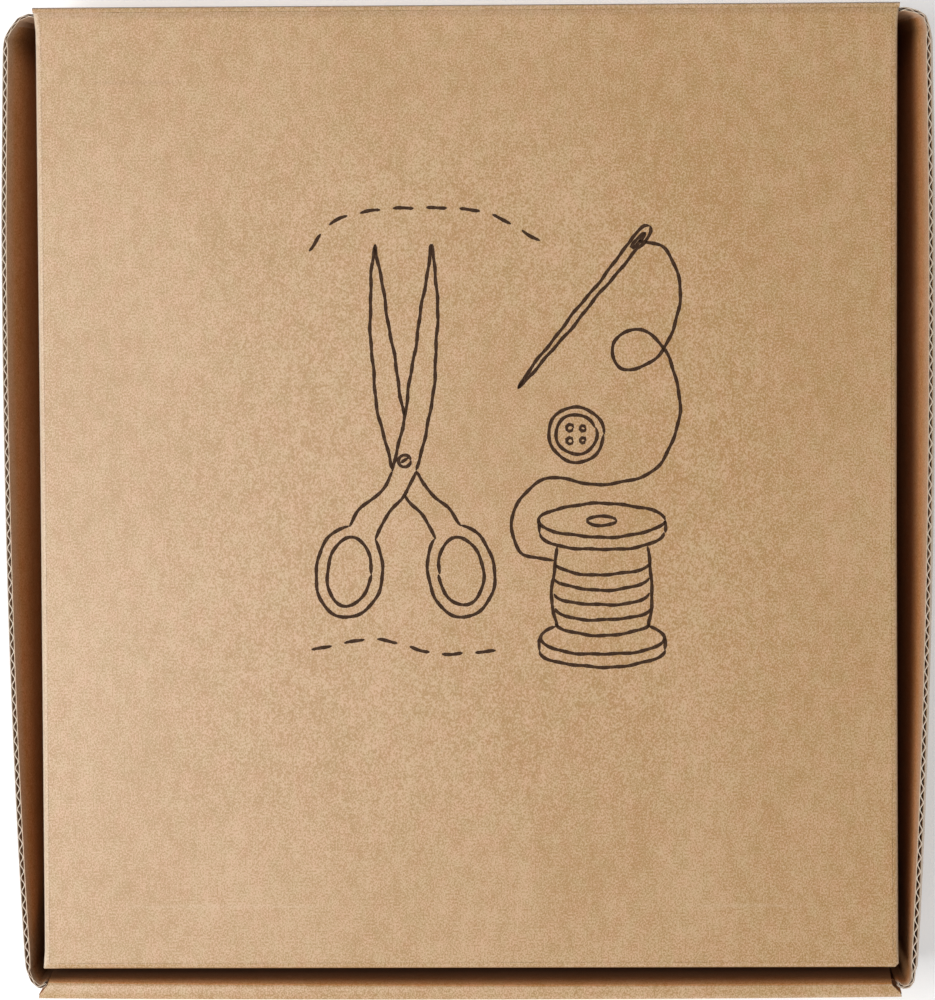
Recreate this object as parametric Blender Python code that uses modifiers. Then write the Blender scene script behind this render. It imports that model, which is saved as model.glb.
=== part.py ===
"""Corrugated mailing box with a hinged tuck-in lid, built panel by panel at its real size.

The box lies on its bottom panel: +Z is up, the lid's hinge is at the back (+Y) and the folded double
front wall is at -Y. The origin is the centre of the box's outline, on the surface it stands on.
Every panel is one piece of single-wall corrugated board; neighbouring panels keep a small gap where
the real sheet is creased.
"""
import math

import bmesh
import bpy
from mathutils import Matrix, Vector

MM = 0.001

# Board
BOARD = 1.4 * MM  # thickness of the fine-fluted board
GAP = 0.3 * MM  # kept between neighbouring panels

# Lid
LID_WIDTH = 205.0 * MM  # across the two side folds
LID_LENGTH = 230.0 * MM  # from the hinge line to the front fold
LID_CORNER_CUT = 0.9 * MM  # relief at the two front corners
LID_FLAP_DEPTH = 38.0 * MM  # the side flaps
TUCK_FLAP_DEPTH = 38.0 * MM  # the front flap
FLAP_MITRE_SETBACK = 2.5 * MM  # where the 45 degree ends start, from the neighbouring fold
FLAP_REAR_SETBACK = 9.0 * MM  # side flap's rear end, from the hinge line
FLAP_REAR_SLOPE = 8.0 * MM  # run of the side flap's slanted rear end
FLAP_CORNER_RADIUS = 5.0 * MM  # free corners of the lid's flaps
SIDE_FLAP_LEAN = math.radians(2.0)  # the side flaps hang a little inwards
TUCK_FLAP_LEAN = math.radians(6.0)  # the tuck flap too, so that it clears the front wall

# Tray
BOX_HEIGHT = 52.0 * MM  # to the top of the lid
LID_SIDE_CLEARANCE = 0.5 * MM  # lid fold to side wall, at the base
SIDE_WALL_DROP = 0.5 * MM  # side walls stop this far under the lid panel
BACK_WALL_INSET = 0.75 * MM  # back wall's ends, in from the side walls' outer faces

# Double front wall, rolled over the front corner flaps
LID_FRONT_GAP = 3.2 * MM  # lid's front fold to the roll's inner fold, seen from above
ROLL_WIDTH = 3.8 * MM  # the strip over the top, from fold to fold
OUTER_LEAN = 2.4 * MM  # how far the outer panel's top runs out over its height
INNER_LEAN = 6.8 * MM  # and the inner panel's, whose foot stands further in
FRONT_WALL_INSET = 1.5 * MM  # front wall's ends, in from the side walls' outer faces
ROLL_MITRE = 2.4 * MM  # the strip narrows by this at each end, from its outer to its inner fold
ROLL_PLAY = 0.4 * MM  # on each side of a corner flap between the two panels
ROLL_DROP = 0.2 * MM  # the strip's top lies this far under the lid's top
TAB_WIDTH = 24.0 * MM  # locking tabs of the inner front panel
TAB_SPACING = 100.0 * MM  # between the two tabs' centres
TAB_CLEARANCE = 0.45 * MM  # around a tab in its slot
TAB_RECESS = 0.2 * MM  # a tab's end, up from the box's underside

# Side walls and their corner flaps
SIDE_FLARE = 7.0 * MM  # the most that a side wall's top edge runs outwards
FRONT_FLARE = 2.1 * MM  # and what it runs outwards at its front end
FLARE_PEAK = 0.8  # where it runs out most, as a share of the wall from the front
REAR_BEND = 5.5 * MM  # radius of the bend into a rear corner flap, at mid board
FRONT_BEND = 3.0 * MM  # and into a front one
CORNER_FLAP = 45.0 * MM  # length of a corner flap past its bend
PINCH_CLEARANCE = 0.9 * MM  # front bend's end to the inner front panel's end, at the top
SHOULDER = 0.5 * MM  # run of the step down where a front corner flap enters the roll

BEND_STEPS = 6
WALL_STEPS = 14
ROUND_STEPS = 5

LID_TOP = BOX_HEIGHT
LID_UNDER = LID_TOP - BOARD
FLAP_TOP = LID_UNDER - GAP
SIDE_WALL_TOP = LID_UNDER - SIDE_WALL_DROP
STANDING = BOARD + GAP  # height of the walls' lower edges over the ground
ROLL_TOP = LID_TOP - ROLL_DROP
ROLL_UNDER = ROLL_TOP - BOARD

# Distances from the hinge line to the front wall's two faces
INNER_FACE_TOP = LID_LENGTH + LID_FRONT_GAP
OUTER_FACE_TOP = INNER_FACE_TOP + ROLL_WIDTH
INNER_ANGLE = math.atan(INNER_LEAN / BOX_HEIGHT)
OUTER_ANGLE = math.atan(OUTER_LEAN / BOX_HEIGHT)

# A corner flap is cut down to where the roll is wide enough to hold it, and always under the strip
ROLL_SHORTAGE = 3 * BOARD + 2 * ROLL_PLAY - ROLL_WIDTH
ROLL_ENTRY_DROP = max(BOARD + GAP, ROLL_SHORTAGE * BOX_HEIGHT / (INNER_LEAN - OUTER_LEAN))

HINGE_Y = OUTER_FACE_TOP / 2  # centres the box on the origin
WALL_INSIDE = LID_WIDTH / 2 + LID_SIDE_CLEARANCE
WALL_MIDDLE = WALL_INSIDE + BOARD / 2
WALL_OUTSIDE = WALL_INSIDE + BOARD
ROLL_OUTER_HALF = WALL_OUTSIDE - FRONT_WALL_INSET
ROLL_INNER_HALF = ROLL_OUTER_HALF - ROLL_MITRE

KRAFT = (0.62, 0.44, 0.27, 1.0)
KRAFT_INSIDE = (0.50, 0.33, 0.19, 1.0)

# The u and v directions of a panel's outline, and the way its outside faces, which is u cross v.
X, Y, Z = Vector((1, 0, 0)), Vector((0, 1, 0)), Vector((0, 0, 1))
FACING = {
    "up": (X, Y),
    "front": (X, Z),
    "back": (-X, Z),
    "right": (Y, Z),
    "left": (-Y, Z),
}


def clear_scene():
    """Empty the startup scene."""
    for obj in list(bpy.data.objects):
        bpy.data.objects.remove(obj)


def board_material(name, colour):
    """Plain uncoated board."""
    material = bpy.data.materials.new(name)
    material.use_nodes = True
    shader = material.node_tree.nodes["Principled BSDF"]
    shader.inputs["Base Color"].default_value = colour
    shader.inputs["Roughness"].default_value = 0.85
    shader.inputs["Metallic"].default_value = 0.0
    return material


def facing_matrix(facing):
    """Turns a panel drawn in its own XY plane to face one way."""
    u, v = FACING[facing]
    return Matrix((u, v, u.cross(v))).transposed()


def rounded(corners):
    """Outline from (u, v, radius) corners; a radius above 0 becomes an arc tangent to both sides."""
    outline = []
    count = len(corners)
    for index, (u, v, radius) in enumerate(corners):
        corner = Vector((u, v))
        if radius <= 0:
            outline.append(corner)
            continue
        before = (Vector(corners[index - 1][:2]) - corner).normalized()
        after = (Vector(corners[(index + 1) % count][:2]) - corner).normalized()
        half = before.angle(after) / 2
        centre = corner + (before + after).normalized() * (radius / math.sin(half))
        start = corner + before * (radius / math.tan(half)) - centre
        end = corner + after * (radius / math.tan(half)) - centre
        sweep = start.angle_signed(end)
        for step in range(ROUND_STEPS + 1):
            turned = start.copy()
            turned.rotate(Matrix.Rotation(-sweep * step / ROUND_STEPS, 2))
            outline.append(centre + turned)
    return outline


def add_axis(name, location, parent=None):
    """An empty on a fold's axis, which carries what turns about it."""
    axis = bpy.data.objects.new(name, None)
    axis.empty_display_size = 0.02
    axis.location = location
    axis.parent = parent
    collection.objects.link(axis)
    return axis


def flat_panel(name, facing, outlines, location, lean=0.0, parent=None, colour=KRAFT):
    """One flat board panel: outlines are its edge and any slots, location its inner face's origin.

    The outlines lie on the panel's inner face and the board's thickness goes outwards. lean turns
    the panel about its outline's u axis: what is above the axis goes outwards, what is below inwards.
    """
    curve = bpy.data.curves.new(name, "CURVE")
    curve.dimensions = "2D"
    curve.fill_mode = "BOTH"
    curve.extrude = BOARD / 2
    for outline in outlines:
        spline = curve.splines.new("POLY")
        spline.points.add(len(outline) - 1)
        for point, (u, v) in zip(spline.points, outline):
            point.co = (u, v, 0, 1)
        spline.use_cyclic_u = True
    curve.materials.append(board_material(name, colour))
    panel = bpy.data.objects.new(name, curve)
    turn = facing_matrix(facing) @ Matrix.Rotation(lean, 3, "X")
    panel.rotation_euler = turn.to_euler()
    panel.location = Vector(location) + turn @ Vector((0, 0, BOARD / 2))
    panel.parent = parent
    collection.objects.link(panel)
    return panel


def rectangle(half_width, low, high):
    """Outline of a panel that is centred across, from low to high."""
    return [(-half_width, low), (half_width, low), (half_width, high), (-half_width, high)]


def board_sheet(name, paths, colour):
    """A bent or bowed board: a surface ruled between a lower and an upper path, then thickened.

    paths are two lists of as many points, at mid board.
    """
    mesh = bpy.data.meshes.new(name)
    sheet = bmesh.new()
    lower, upper = ([sheet.verts.new(point) for point in path] for path in paths)
    for index in range(len(lower) - 1):
        sheet.faces.new((lower[index], lower[index + 1], upper[index + 1], upper[index]))
    sheet.to_mesh(mesh)
    sheet.free()
    mesh.materials.append(board_material(name, colour))
    board = bpy.data.objects.new(name, mesh)
    thickness = board.modifiers.new("thickness", "SOLIDIFY")
    thickness.thickness = BOARD
    thickness.offset = 0
    thickness.use_even_offset = True
    collection.objects.link(board)
    return board


def flare(share):
    """Outward run of a side wall's top edge: a parabola that peaks at FLARE_PEAK of the wall."""
    fall = (SIDE_FLARE - FRONT_FLARE) * ((share - FLARE_PEAK) / FLARE_PEAK) ** 2
    return SIDE_FLARE - fall


def outer_face_y(height):
    """Outer face of the front wall at a height."""
    return HINGE_Y - OUTER_FACE_TOP + OUTER_LEAN * (1 - height / BOX_HEIGHT)


def inner_face_y(height):
    """Inner face of the double front wall at a height."""
    return HINGE_Y - INNER_FACE_TOP + INNER_LEAN * (1 - height / BOX_HEIGHT)


def front_flap_y(height):
    """Mid board of the front corner flaps, which lie behind the outer panel."""
    return outer_face_y(height) + BOARD + ROLL_PLAY + BOARD / 2


def bend(centre_x, centre_y, radius, turn, height):
    """Plan of a bend on the right side: an arc from facing +X round towards -Y, or +Y if negative."""
    points = []
    for step in range(BEND_STEPS + 1):
        angle = turn * step / BEND_STEPS
        x = centre_x + radius * math.cos(angle)
        y = centre_y - radius * math.sin(angle)
        points.append((x, y, height))
    return points


def side_paths(height, flap_height, openness):
    """Plan of one side's board at a height, for the right side: front flap, wall and rear flap.

    flap_height is that of the front flap's edge inside the roll. openness is 0 at the wall's foot and
    1 at its top edge, where it has its full flare and the front bend is pinched past square.
    """
    front_x = WALL_MIDDLE + openness * flare(0) - FRONT_BEND
    front_y = front_flap_y(height) + FRONT_BEND
    rear_x = WALL_MIDDLE + openness * flare(1) - REAR_BEND
    rear_flap_y = HINGE_Y - BOARD - GAP - BOARD / 2
    rear_y = rear_flap_y - REAR_BEND

    pinch = math.asin((front_x - ROLL_INNER_HALF - PINCH_CLEARANCE) / FRONT_BEND)
    front_flap = bend(front_x, front_y, FRONT_BEND, math.pi / 2 + openness * pinch, height)
    for x in (front_flap[-1][0] - SHOULDER, front_x - CORNER_FLAP):
        front_flap.append((x, front_flap_y(flap_height), flap_height))
    rear_flap = bend(rear_x, rear_y, REAR_BEND, -math.pi / 2, height)
    rear_flap.append((rear_x - CORNER_FLAP, rear_flap_y, height))
    wall = []
    for step in range(WALL_STEPS + 1):
        share = step / WALL_STEPS
        y = front_y + GAP + (rear_y - front_y - 2 * GAP) * share
        wall.append((WALL_MIDDLE + openness * flare(share), y, height))
    return {"front_corner_flap": front_flap[::-1], "wall": wall, "rear_corner_flap": rear_flap}


def add_side(side, sign):
    """The wall on one side with its two corner flaps; sign is +1 on the right, -1 on the left."""
    low = side_paths(STANDING, STANDING, 0.0)
    high = side_paths(SIDE_WALL_TOP, ROLL_TOP - ROLL_ENTRY_DROP, 1.0)
    for part in ("wall", "front_corner_flap", "rear_corner_flap"):
        paths = [[(sign * x, y, z) for x, y, z in level[part]] for level in (low, high)]
        if sign < 0:
            paths = [list(reversed(path)) for path in paths]
        board_sheet(f"{side}_{part}", paths, KRAFT_INSIDE)


def tab_centres():
    """Where the two locking tabs stand across the box."""
    return (-TAB_SPACING / 2, TAB_SPACING / 2)


def add_bottom():
    """Bottom panel, with a slot for each locking tab of the front wall."""
    edge = [
        (-WALL_OUTSIDE, outer_face_y(0)),
        (WALL_OUTSIDE, outer_face_y(0)),
        (WALL_OUTSIDE, HINGE_Y),
        (-WALL_OUTSIDE, HINGE_Y),
    ]
    slots = []
    slot_back = inner_face_y(0) + TAB_CLEARANCE
    slot_front = inner_face_y(STANDING) - BOARD / math.cos(INNER_ANGLE) - TAB_CLEARANCE
    half = TAB_WIDTH / 2 + TAB_CLEARANCE
    for centre in tab_centres():
        slots.append(
            [
                (centre - half, slot_front),
                (centre + half, slot_front),
                (centre + half, slot_back),
                (centre - half, slot_back),
            ]
        )
    flat_panel("bottom_panel", "up", [edge, *slots], (0, 0, 0))


def add_back_wall():
    """Back wall, which carries the lid at its upper fold."""
    half_width = WALL_OUTSIDE - BACK_WALL_INSET
    outline = rectangle(half_width, STANDING, FLAP_TOP)
    flat_panel("back_wall", "back", [outline], (0, HINGE_Y - BOARD, 0))


def up_panel(height, lean):
    """How far up a leaning panel a height lies; its outer face sits a little lower than its inner."""
    return (height + BOARD * math.sin(lean)) / math.cos(lean)


def add_front_wall():
    """Double front wall: outer panel, the strip over the top and the inner panel with its tabs."""
    top = ROLL_UNDER - GAP
    foot = up_panel(STANDING, OUTER_ANGLE)
    outer = rectangle(ROLL_OUTER_HALF, foot, top / math.cos(OUTER_ANGLE))
    inner_side = outer_face_y(0) + BOARD / math.cos(OUTER_ANGLE)
    flat_panel("front_wall_outer", "front", [outer], (0, inner_side, 0), lean=OUTER_ANGLE)

    strip = [
        (-ROLL_OUTER_HALF, HINGE_Y - OUTER_FACE_TOP),
        (ROLL_OUTER_HALF, HINGE_Y - OUTER_FACE_TOP),
        (ROLL_INNER_HALF, HINGE_Y - INNER_FACE_TOP),
        (-ROLL_INNER_HALF, HINGE_Y - INNER_FACE_TOP),
    ]
    flat_panel("front_wall_top", "up", [strip], (0, 0, ROLL_UNDER))

    head = top / math.cos(INNER_ANGLE)
    foot = up_panel(STANDING, INNER_ANGLE)
    tab_end = up_panel(TAB_RECESS, INNER_ANGLE)
    inner = [(-ROLL_INNER_HALF, head), (-ROLL_INNER_HALF, foot)]
    for centre in tab_centres():
        left, right = centre - TAB_WIDTH / 2, centre + TAB_WIDTH / 2
        inner += [(left, foot), (left, tab_end), (right, tab_end), (right, foot)]
    inner += [(ROLL_INNER_HALF, foot), (ROLL_INNER_HALF, head)]
    flat_panel(
        "front_wall_inner",
        "front",
        [inner],
        (0, inner_face_y(0), 0),
        lean=INNER_ANGLE,
        colour=KRAFT_INSIDE,
    )


def add_lid():
    """Lid panel on its hinge axis, with a flap on each side and the tuck flap at the front."""
    hinge = add_axis("lid_hinge_axis", (0, HINGE_Y, LID_TOP))
    half = LID_WIDTH / 2
    cut = LID_CORNER_CUT
    edge = [
        (-half, 0),
        (-half, cut - LID_LENGTH),
        (cut - half, -LID_LENGTH),
        (half - cut, -LID_LENGTH),
        (half, cut - LID_LENGTH),
        (half, 0),
    ]
    flat_panel("lid_panel", "up", [edge], (0, 0, -BOARD), parent=hinge)

    fold_x = half - BOARD
    fold_y = BOARD - LID_LENGTH
    fold_z = FLAP_TOP - LID_TOP
    rear = -FLAP_REAR_SETBACK
    front = fold_y + FLAP_MITRE_SETBACK
    for side, sign in (("left", -1), ("right", 1)):
        axis = add_axis(f"lid_{side}_flap_axis", (sign * fold_x, 0, fold_z), hinge)
        corners = [
            (sign * front, 0, 0),
            (sign * (front + LID_FLAP_DEPTH), -LID_FLAP_DEPTH, FLAP_CORNER_RADIUS),
            (sign * (rear - FLAP_REAR_SLOPE), -LID_FLAP_DEPTH, FLAP_CORNER_RADIUS),
            (sign * rear, 0, 0),
        ]
        flat_panel(
            f"lid_{side}_flap",
            side,
            [rounded(corners)],
            (0, 0, 0),
            lean=SIDE_FLAP_LEAN,
            parent=axis,
            colour=KRAFT_INSIDE,
        )

    axis = add_axis("lid_tuck_flap_axis", (0, fold_y, fold_z), hinge)
    tuck_half = fold_x - FLAP_MITRE_SETBACK
    tuck_end = tuck_half - TUCK_FLAP_DEPTH
    corners = [
        (-tuck_half, 0, 0),
        (-tuck_end, -TUCK_FLAP_DEPTH, FLAP_CORNER_RADIUS),
        (tuck_end, -TUCK_FLAP_DEPTH, FLAP_CORNER_RADIUS),
        (tuck_half, 0, 0),
    ]
    flat_panel(
        "lid_tuck_flap",
        "front",
        [rounded(corners)],
        (0, 0, 0),
        lean=TUCK_FLAP_LEAN,
        parent=axis,
        colour=KRAFT_INSIDE,
    )


clear_scene()
collection = bpy.data.collections.new("mailing_box")
bpy.context.scene.collection.children.link(collection)
add_bottom()
add_back_wall()
add_front_wall()
add_side("left", -1)
add_side("right", 1)
add_lid()
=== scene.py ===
"""Looks of the corrugated mailing box: fluted board, folds, line print, light and camera.

Shapes are worked out in millimetres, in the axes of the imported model: +Z up, +Y towards the lid's
hinge, the origin on the ground under the middle of the box. A piece becomes metres when its mesh is
made. Every board is drawn as its real layers: an outer liner, an inner liner and the wavy medium.
"""

import logging
import math
from collections.abc import Callable, Sequence
from dataclasses import dataclass, field
from enum import Enum

import bpy
import numpy as np
from mathutils import Euler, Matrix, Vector


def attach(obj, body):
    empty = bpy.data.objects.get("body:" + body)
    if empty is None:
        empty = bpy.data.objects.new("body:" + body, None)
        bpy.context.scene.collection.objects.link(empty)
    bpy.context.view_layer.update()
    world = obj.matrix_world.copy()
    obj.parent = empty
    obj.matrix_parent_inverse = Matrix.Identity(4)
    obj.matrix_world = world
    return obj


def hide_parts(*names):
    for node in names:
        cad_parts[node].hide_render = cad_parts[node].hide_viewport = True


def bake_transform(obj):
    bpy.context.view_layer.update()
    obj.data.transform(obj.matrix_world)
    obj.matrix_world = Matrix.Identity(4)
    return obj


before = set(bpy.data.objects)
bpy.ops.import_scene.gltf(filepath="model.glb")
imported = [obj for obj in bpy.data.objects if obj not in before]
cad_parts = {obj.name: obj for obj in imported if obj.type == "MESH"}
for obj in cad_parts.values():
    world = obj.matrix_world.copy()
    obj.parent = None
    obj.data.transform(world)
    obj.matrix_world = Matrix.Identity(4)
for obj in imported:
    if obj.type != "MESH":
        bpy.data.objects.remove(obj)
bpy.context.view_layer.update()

Array = np.ndarray
Colour = tuple[float, float, float]

MM = 0.001
BOARD = 1.4
LINER = 0.21
MEDIUM = 0.21
FLUTE_PITCH = 3.3
FLUTE_STEP = FLUTE_PITCH / 12
LEAST_STEP = 0.004

HINGE_Y = 118.5
LID_TOP = 52.0
FLAP_TOP = 50.3
LID_HALF = 102.5
LID_FRONT_Y = -111.5
STANDING = 1.7
OUTER_LEAN = 2.4
BOTTOM_HALF = 102.9

ROOT_HALF = 101.1
ROOT_FRONT = -110.1
ROOT_BACK = 117.1
FLAP_FRONT = -107.6
FLAP_REAR = 109.5
TUCK_HALF = 98.6

MIX_COLOURS = (6, 7)
MIX_RESULT = 2
SHARPEST_SMOOTH = math.radians(38.0)

log = logging.getLogger("mailing_box")


class Side(Enum):
    """A side of the box, seen from its front; the value is the sign of x there."""

    LEFT = -1
    RIGHT = 1


class Paper(Enum):
    """What a face of a board is; the value is its material slot on the piece.

    The cut edge of a layer comes three slots after the layer.
    """

    OUTSIDE = 0
    INSIDE = 1
    MEDIUM = 2
    OUTSIDE_CUT = 3
    INSIDE_CUT = 4
    MEDIUM_CUT = 5


@dataclass(frozen=True)
class Grain:
    """A pattern of noise in the paper.

    size is the width of a patch in millimetres, stretch how much finer the pattern is along each axis,
    detail its octaves on top of the first, and rough each octave's strength against the one before.
    """

    size: float
    stretch: tuple[float, float, float]
    detail: float
    rough: float = 0.6


CLOUDS = Grain(30.0, (1.0, 0.55, 1.0), 3.0)
MOTTLE = Grain(3.2, (1.0, 0.7, 1.0), 3.0)
FIBRES = Grain(0.95, (1.0, 0.4, 0.7), 2.0)
FINE = Grain(0.34, (1.0, 0.8, 1.0), 1.0, 0.5)
TINT = Grain(3.6, (1.0, 0.7, 1.0), 2.0)
SPECKS = Grain(0.5, (1.0, 0.5, 1.0), 1.0, 0.5)
SCUFFS = Grain(1.1, (1.0, 0.6, 1.0), 3.0, 0.7)
BARE_FIBRES = Grain(0.5, (1.0, 0.5, 1.0), 3.0, 0.7)


class Graph:
    """A material's node tree, with short ways to add and join nodes."""

    def __init__(self, material: bpy.types.Material) -> None:
        """Start from an empty tree.

        Args:
            material: the material that it belongs to.
        """
        material.use_nodes = True
        self.tree = material.node_tree
        self.tree.nodes.clear()

    def add(self, kind: str, **settings: object) -> bpy.types.Node:
        """Add a node.

        Args:
            kind: the node's type name.
            settings: properties of the node, and input values under the names of its sockets
                with an underscore for each space.

        Returns:
            The new node.
        """
        node = self.tree.nodes.new(kind)
        for name, value in settings.items():
            if hasattr(node, name):
                setattr(node, name, value)
            else:
                node.inputs[name.replace("_", " ")].default_value = value
        return node

    def join(self, out: bpy.types.NodeSocket, into: bpy.types.NodeSocket) -> None:
        """Link an output to an input."""
        self.tree.links.new(out, into)

    def feed(self, value: object, socket: bpy.types.NodeSocket) -> None:
        """Give an input another socket's value, or a number or colour of its own.

        Args:
            value: a socket, a number or a colour.
            socket: the input.
        """
        if isinstance(value, bpy.types.NodeSocket):
            self.join(value, socket)
        else:
            socket.default_value = (*value, 1.0) if isinstance(value, tuple) else value

    def maths(self, operation: str, first: object, second: object = 0.0) -> bpy.types.NodeSocket:
        """Combine two numbers or sockets.

        Args:
            operation: the Math node's operation.
            first: a socket or a number.
            second: a socket or a number.

        Returns:
            The result's socket.
        """
        node = self.add("ShaderNodeMath", operation=operation)
        for socket, value in zip(node.inputs, (first, second)):
            self.feed(value, socket)
        return node.outputs[0]

    def noise(self, place: bpy.types.NodeSocket, grain: Grain) -> bpy.types.NodeSocket:
        """Noise of a given grain.

        Args:
            place: socket of the coordinates, in metres.
            grain: the pattern's size and shape.

        Returns:
            Socket of a number around 0.5.
        """
        mapping = self.add("ShaderNodeMapping", Scale=grain.stretch)
        self.join(place, mapping.inputs["Vector"])
        scale = 1 / (grain.size * MM)
        node = self.add("ShaderNodeTexNoise", Scale=scale, Detail=grain.detail, Roughness=grain.rough)
        self.join(mapping.outputs[0], node.inputs["Vector"])
        return node.outputs["Fac"]

    def ramp(
        self, value: bpy.types.NodeSocket, low: float, high: float, start: float = 0.0, end: float = 1.0
    ) -> bpy.types.NodeSocket:
        """Carry a number from one range to another, held at both ends.

        Args:
            value: the number's socket.
            low: where the range starts.
            high: where it ends.
            start: result at low.
            end: result at high.

        Returns:
            The result's socket.
        """
        node = self.add("ShaderNodeMapRange", clamp=True)
        for name, number in (("From Min", low), ("From Max", high), ("To Min", start), ("To Max", end)):
            node.inputs[name].default_value = number
        self.join(value, node.inputs["Value"])
        return node.outputs["Result"]

    def mix(
        self, share: object, first: object, second: object, blend: str = "MIX"
    ) -> bpy.types.NodeSocket:
        """Mix two colours.

        Args:
            share: how much of the second colour shows, a socket or a number.
            first: a colour or its socket.
            second: a colour or its socket.
            blend: the way that they mix.

        Returns:
            The result's socket.
        """
        node = self.add("ShaderNodeMix", data_type="RGBA", blend_type=blend)
        self.feed(share, node.inputs["Factor"])
        for place, value in zip(MIX_COLOURS, (first, second)):
            self.feed(value, node.inputs[place])
        return node.outputs[MIX_RESULT]


@dataclass(frozen=True)
class Kraft:
    """Uncoated kraft paper: clouded pulp, short fibres and dark specks.

    The attribute wear makes it paler where it's above 0, as on a rubbed fold and as painted highlight, and
    darker below 0 as painted shade.
    """

    name: str
    base: Colour
    cloud: float = 0.10
    grain: float = 0.80
    speck: float = 0.35
    # The pale colour is rubbed paper's and also serves as painted highlight; the dark red-brown after it is
    # painted shade.
    pale: Colour = (0.99, 0.82, 0.63)
    painted_shade: Colour = (0.16, 0.06, 0.02)
    warm: Colour = (1.028, 0.979, 1.016)
    cool: Colour = (0.972, 1.021, 0.984)
    contrast: float = 0.19
    evenness: float = 0.15
    darkest: float = 0.02
    shade_range: float = 0.25
    roughness: float = 0.40
    shine: float = 0.85
    relief: float = 0.06

    def weights(self) -> tuple[float, ...]:
        """How strongly the clouds, the mottle, the fibres and the fine grain show."""
        return 4.0 * self.cloud, 0.66 * self.grain, 0.44 * self.grain, 2.4 * self.grain

    def tones(self) -> tuple[Colour, Colour]:
        """The base at its darkest and at its palest.

        Each part moves by contrast * most * (part / most) ** evenness, where most is the largest part.

        Returns:
            Both colours.
        """
        most = max(self.base)
        moves = [self.contrast * most * (part / most) ** self.evenness for part in self.base]
        dark = tuple(max(part - move, self.darkest) for part, move in zip(self.base, moves))
        return dark, tuple(part + move for part, move in zip(self.base, moves))

    def material(self) -> bpy.types.Material:
        """Make the material; its grain is on Object coordinates, its scuffs, painted highlights and painted
        shade on the attribute wear.

        Returns:
            The material.
        """
        material = bpy.data.materials.new(self.name)
        graph = Graph(material)
        place = graph.add("ShaderNodeTexCoord").outputs["Object"]
        patterns = [graph.noise(place, grain) for grain in (CLOUDS, MOTTLE, FIBRES, FINE)]
        fibres, fine = patterns[2:]

        shade = 0.0
        for pattern, weight in zip(patterns, self.weights()):
            part = graph.maths("MULTIPLY", graph.maths("SUBTRACT", pattern, 0.5), weight)
            shade = graph.maths("ADD", shade, part)
        colour = graph.mix(graph.ramp(shade, -self.shade_range, self.shade_range), *self.tones())
        tint = graph.ramp(graph.noise(place, TINT), 0.3, 0.7)
        colour = graph.mix(1.0, colour, graph.mix(tint, self.warm, self.cool), "MULTIPLY")

        specks = graph.ramp(graph.noise(place, SPECKS), 0.72, 0.80, 0.0, self.speck)
        colour = graph.mix(specks, colour, tuple(part * 0.45 for part in self.base))
        wear_and_painted_light = graph.add("ShaderNodeAttribute", attribute_name="wear_and_painted_light").outputs["Fac"]
        broken = graph.ramp(graph.noise(place, SCUFFS), 0.25, 0.75, 0.65, 1.0)
        # Above 0 the attribute pales the paper: rubbing, and painted highlight where a fold or facet faces
        # the light.
        rubbed = graph.maths("MULTIPLY", graph.ramp(wear_and_painted_light, 0.0, 1.0), broken)
        colour = graph.mix(rubbed, colour, self.pale)
        # Below 0 it darkens the paper towards the dark red-brown: painted shade.
        colour = graph.mix(graph.ramp(wear_and_painted_light, 0.0, -1.0), colour, self.painted_shade)

        height = graph.maths("ADD", graph.maths("MULTIPLY", fibres, 0.6), graph.maths("MULTIPLY", fine, 0.4))
        bump = graph.add("ShaderNodeBump", Strength=0.25, Distance=self.relief * MM)
        graph.join(height, bump.inputs["Height"])
        shader = graph.add("ShaderNodeBsdfPrincipled", Roughness=self.roughness)
        shader.inputs["Specular IOR Level"].default_value = self.shine
        graph.join(colour, shader.inputs["Base Color"])
        graph.join(bump.outputs[0], shader.inputs["Normal"])
        output = graph.add("ShaderNodeOutputMaterial")
        graph.join(shader.outputs[0], output.inputs["Surface"])
        return material


@dataclass(frozen=True)
class Ink:
    """Thin dark ink on kraft, a little uneven where the paper's fibres took less of it."""

    name: str = "line_ink"
    base: Colour = (0.047, 0.019, 0.006)
    worn: Colour = (0.15, 0.08, 0.04)
    roughness: float = 0.7
    shine: float = 0.25

    def material(self) -> bpy.types.Material:
        """Make the material, with its unevenness on Object coordinates.

        Returns:
            The material.
        """
        material = bpy.data.materials.new(self.name)
        graph = Graph(material)
        place = graph.add("ShaderNodeTexCoord").outputs["Object"]
        bare = graph.ramp(graph.noise(place, BARE_FIBRES), 0.5, 0.8, 0.0, 0.8)
        shader = graph.add("ShaderNodeBsdfPrincipled", Roughness=self.roughness)
        shader.inputs["Specular IOR Level"].default_value = self.shine
        graph.join(graph.mix(bare, self.base, self.worn), shader.inputs["Base Color"])
        output = graph.add("ShaderNodeOutputMaterial")
        graph.join(shader.outputs[0], output.inputs["Surface"])
        return material


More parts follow.
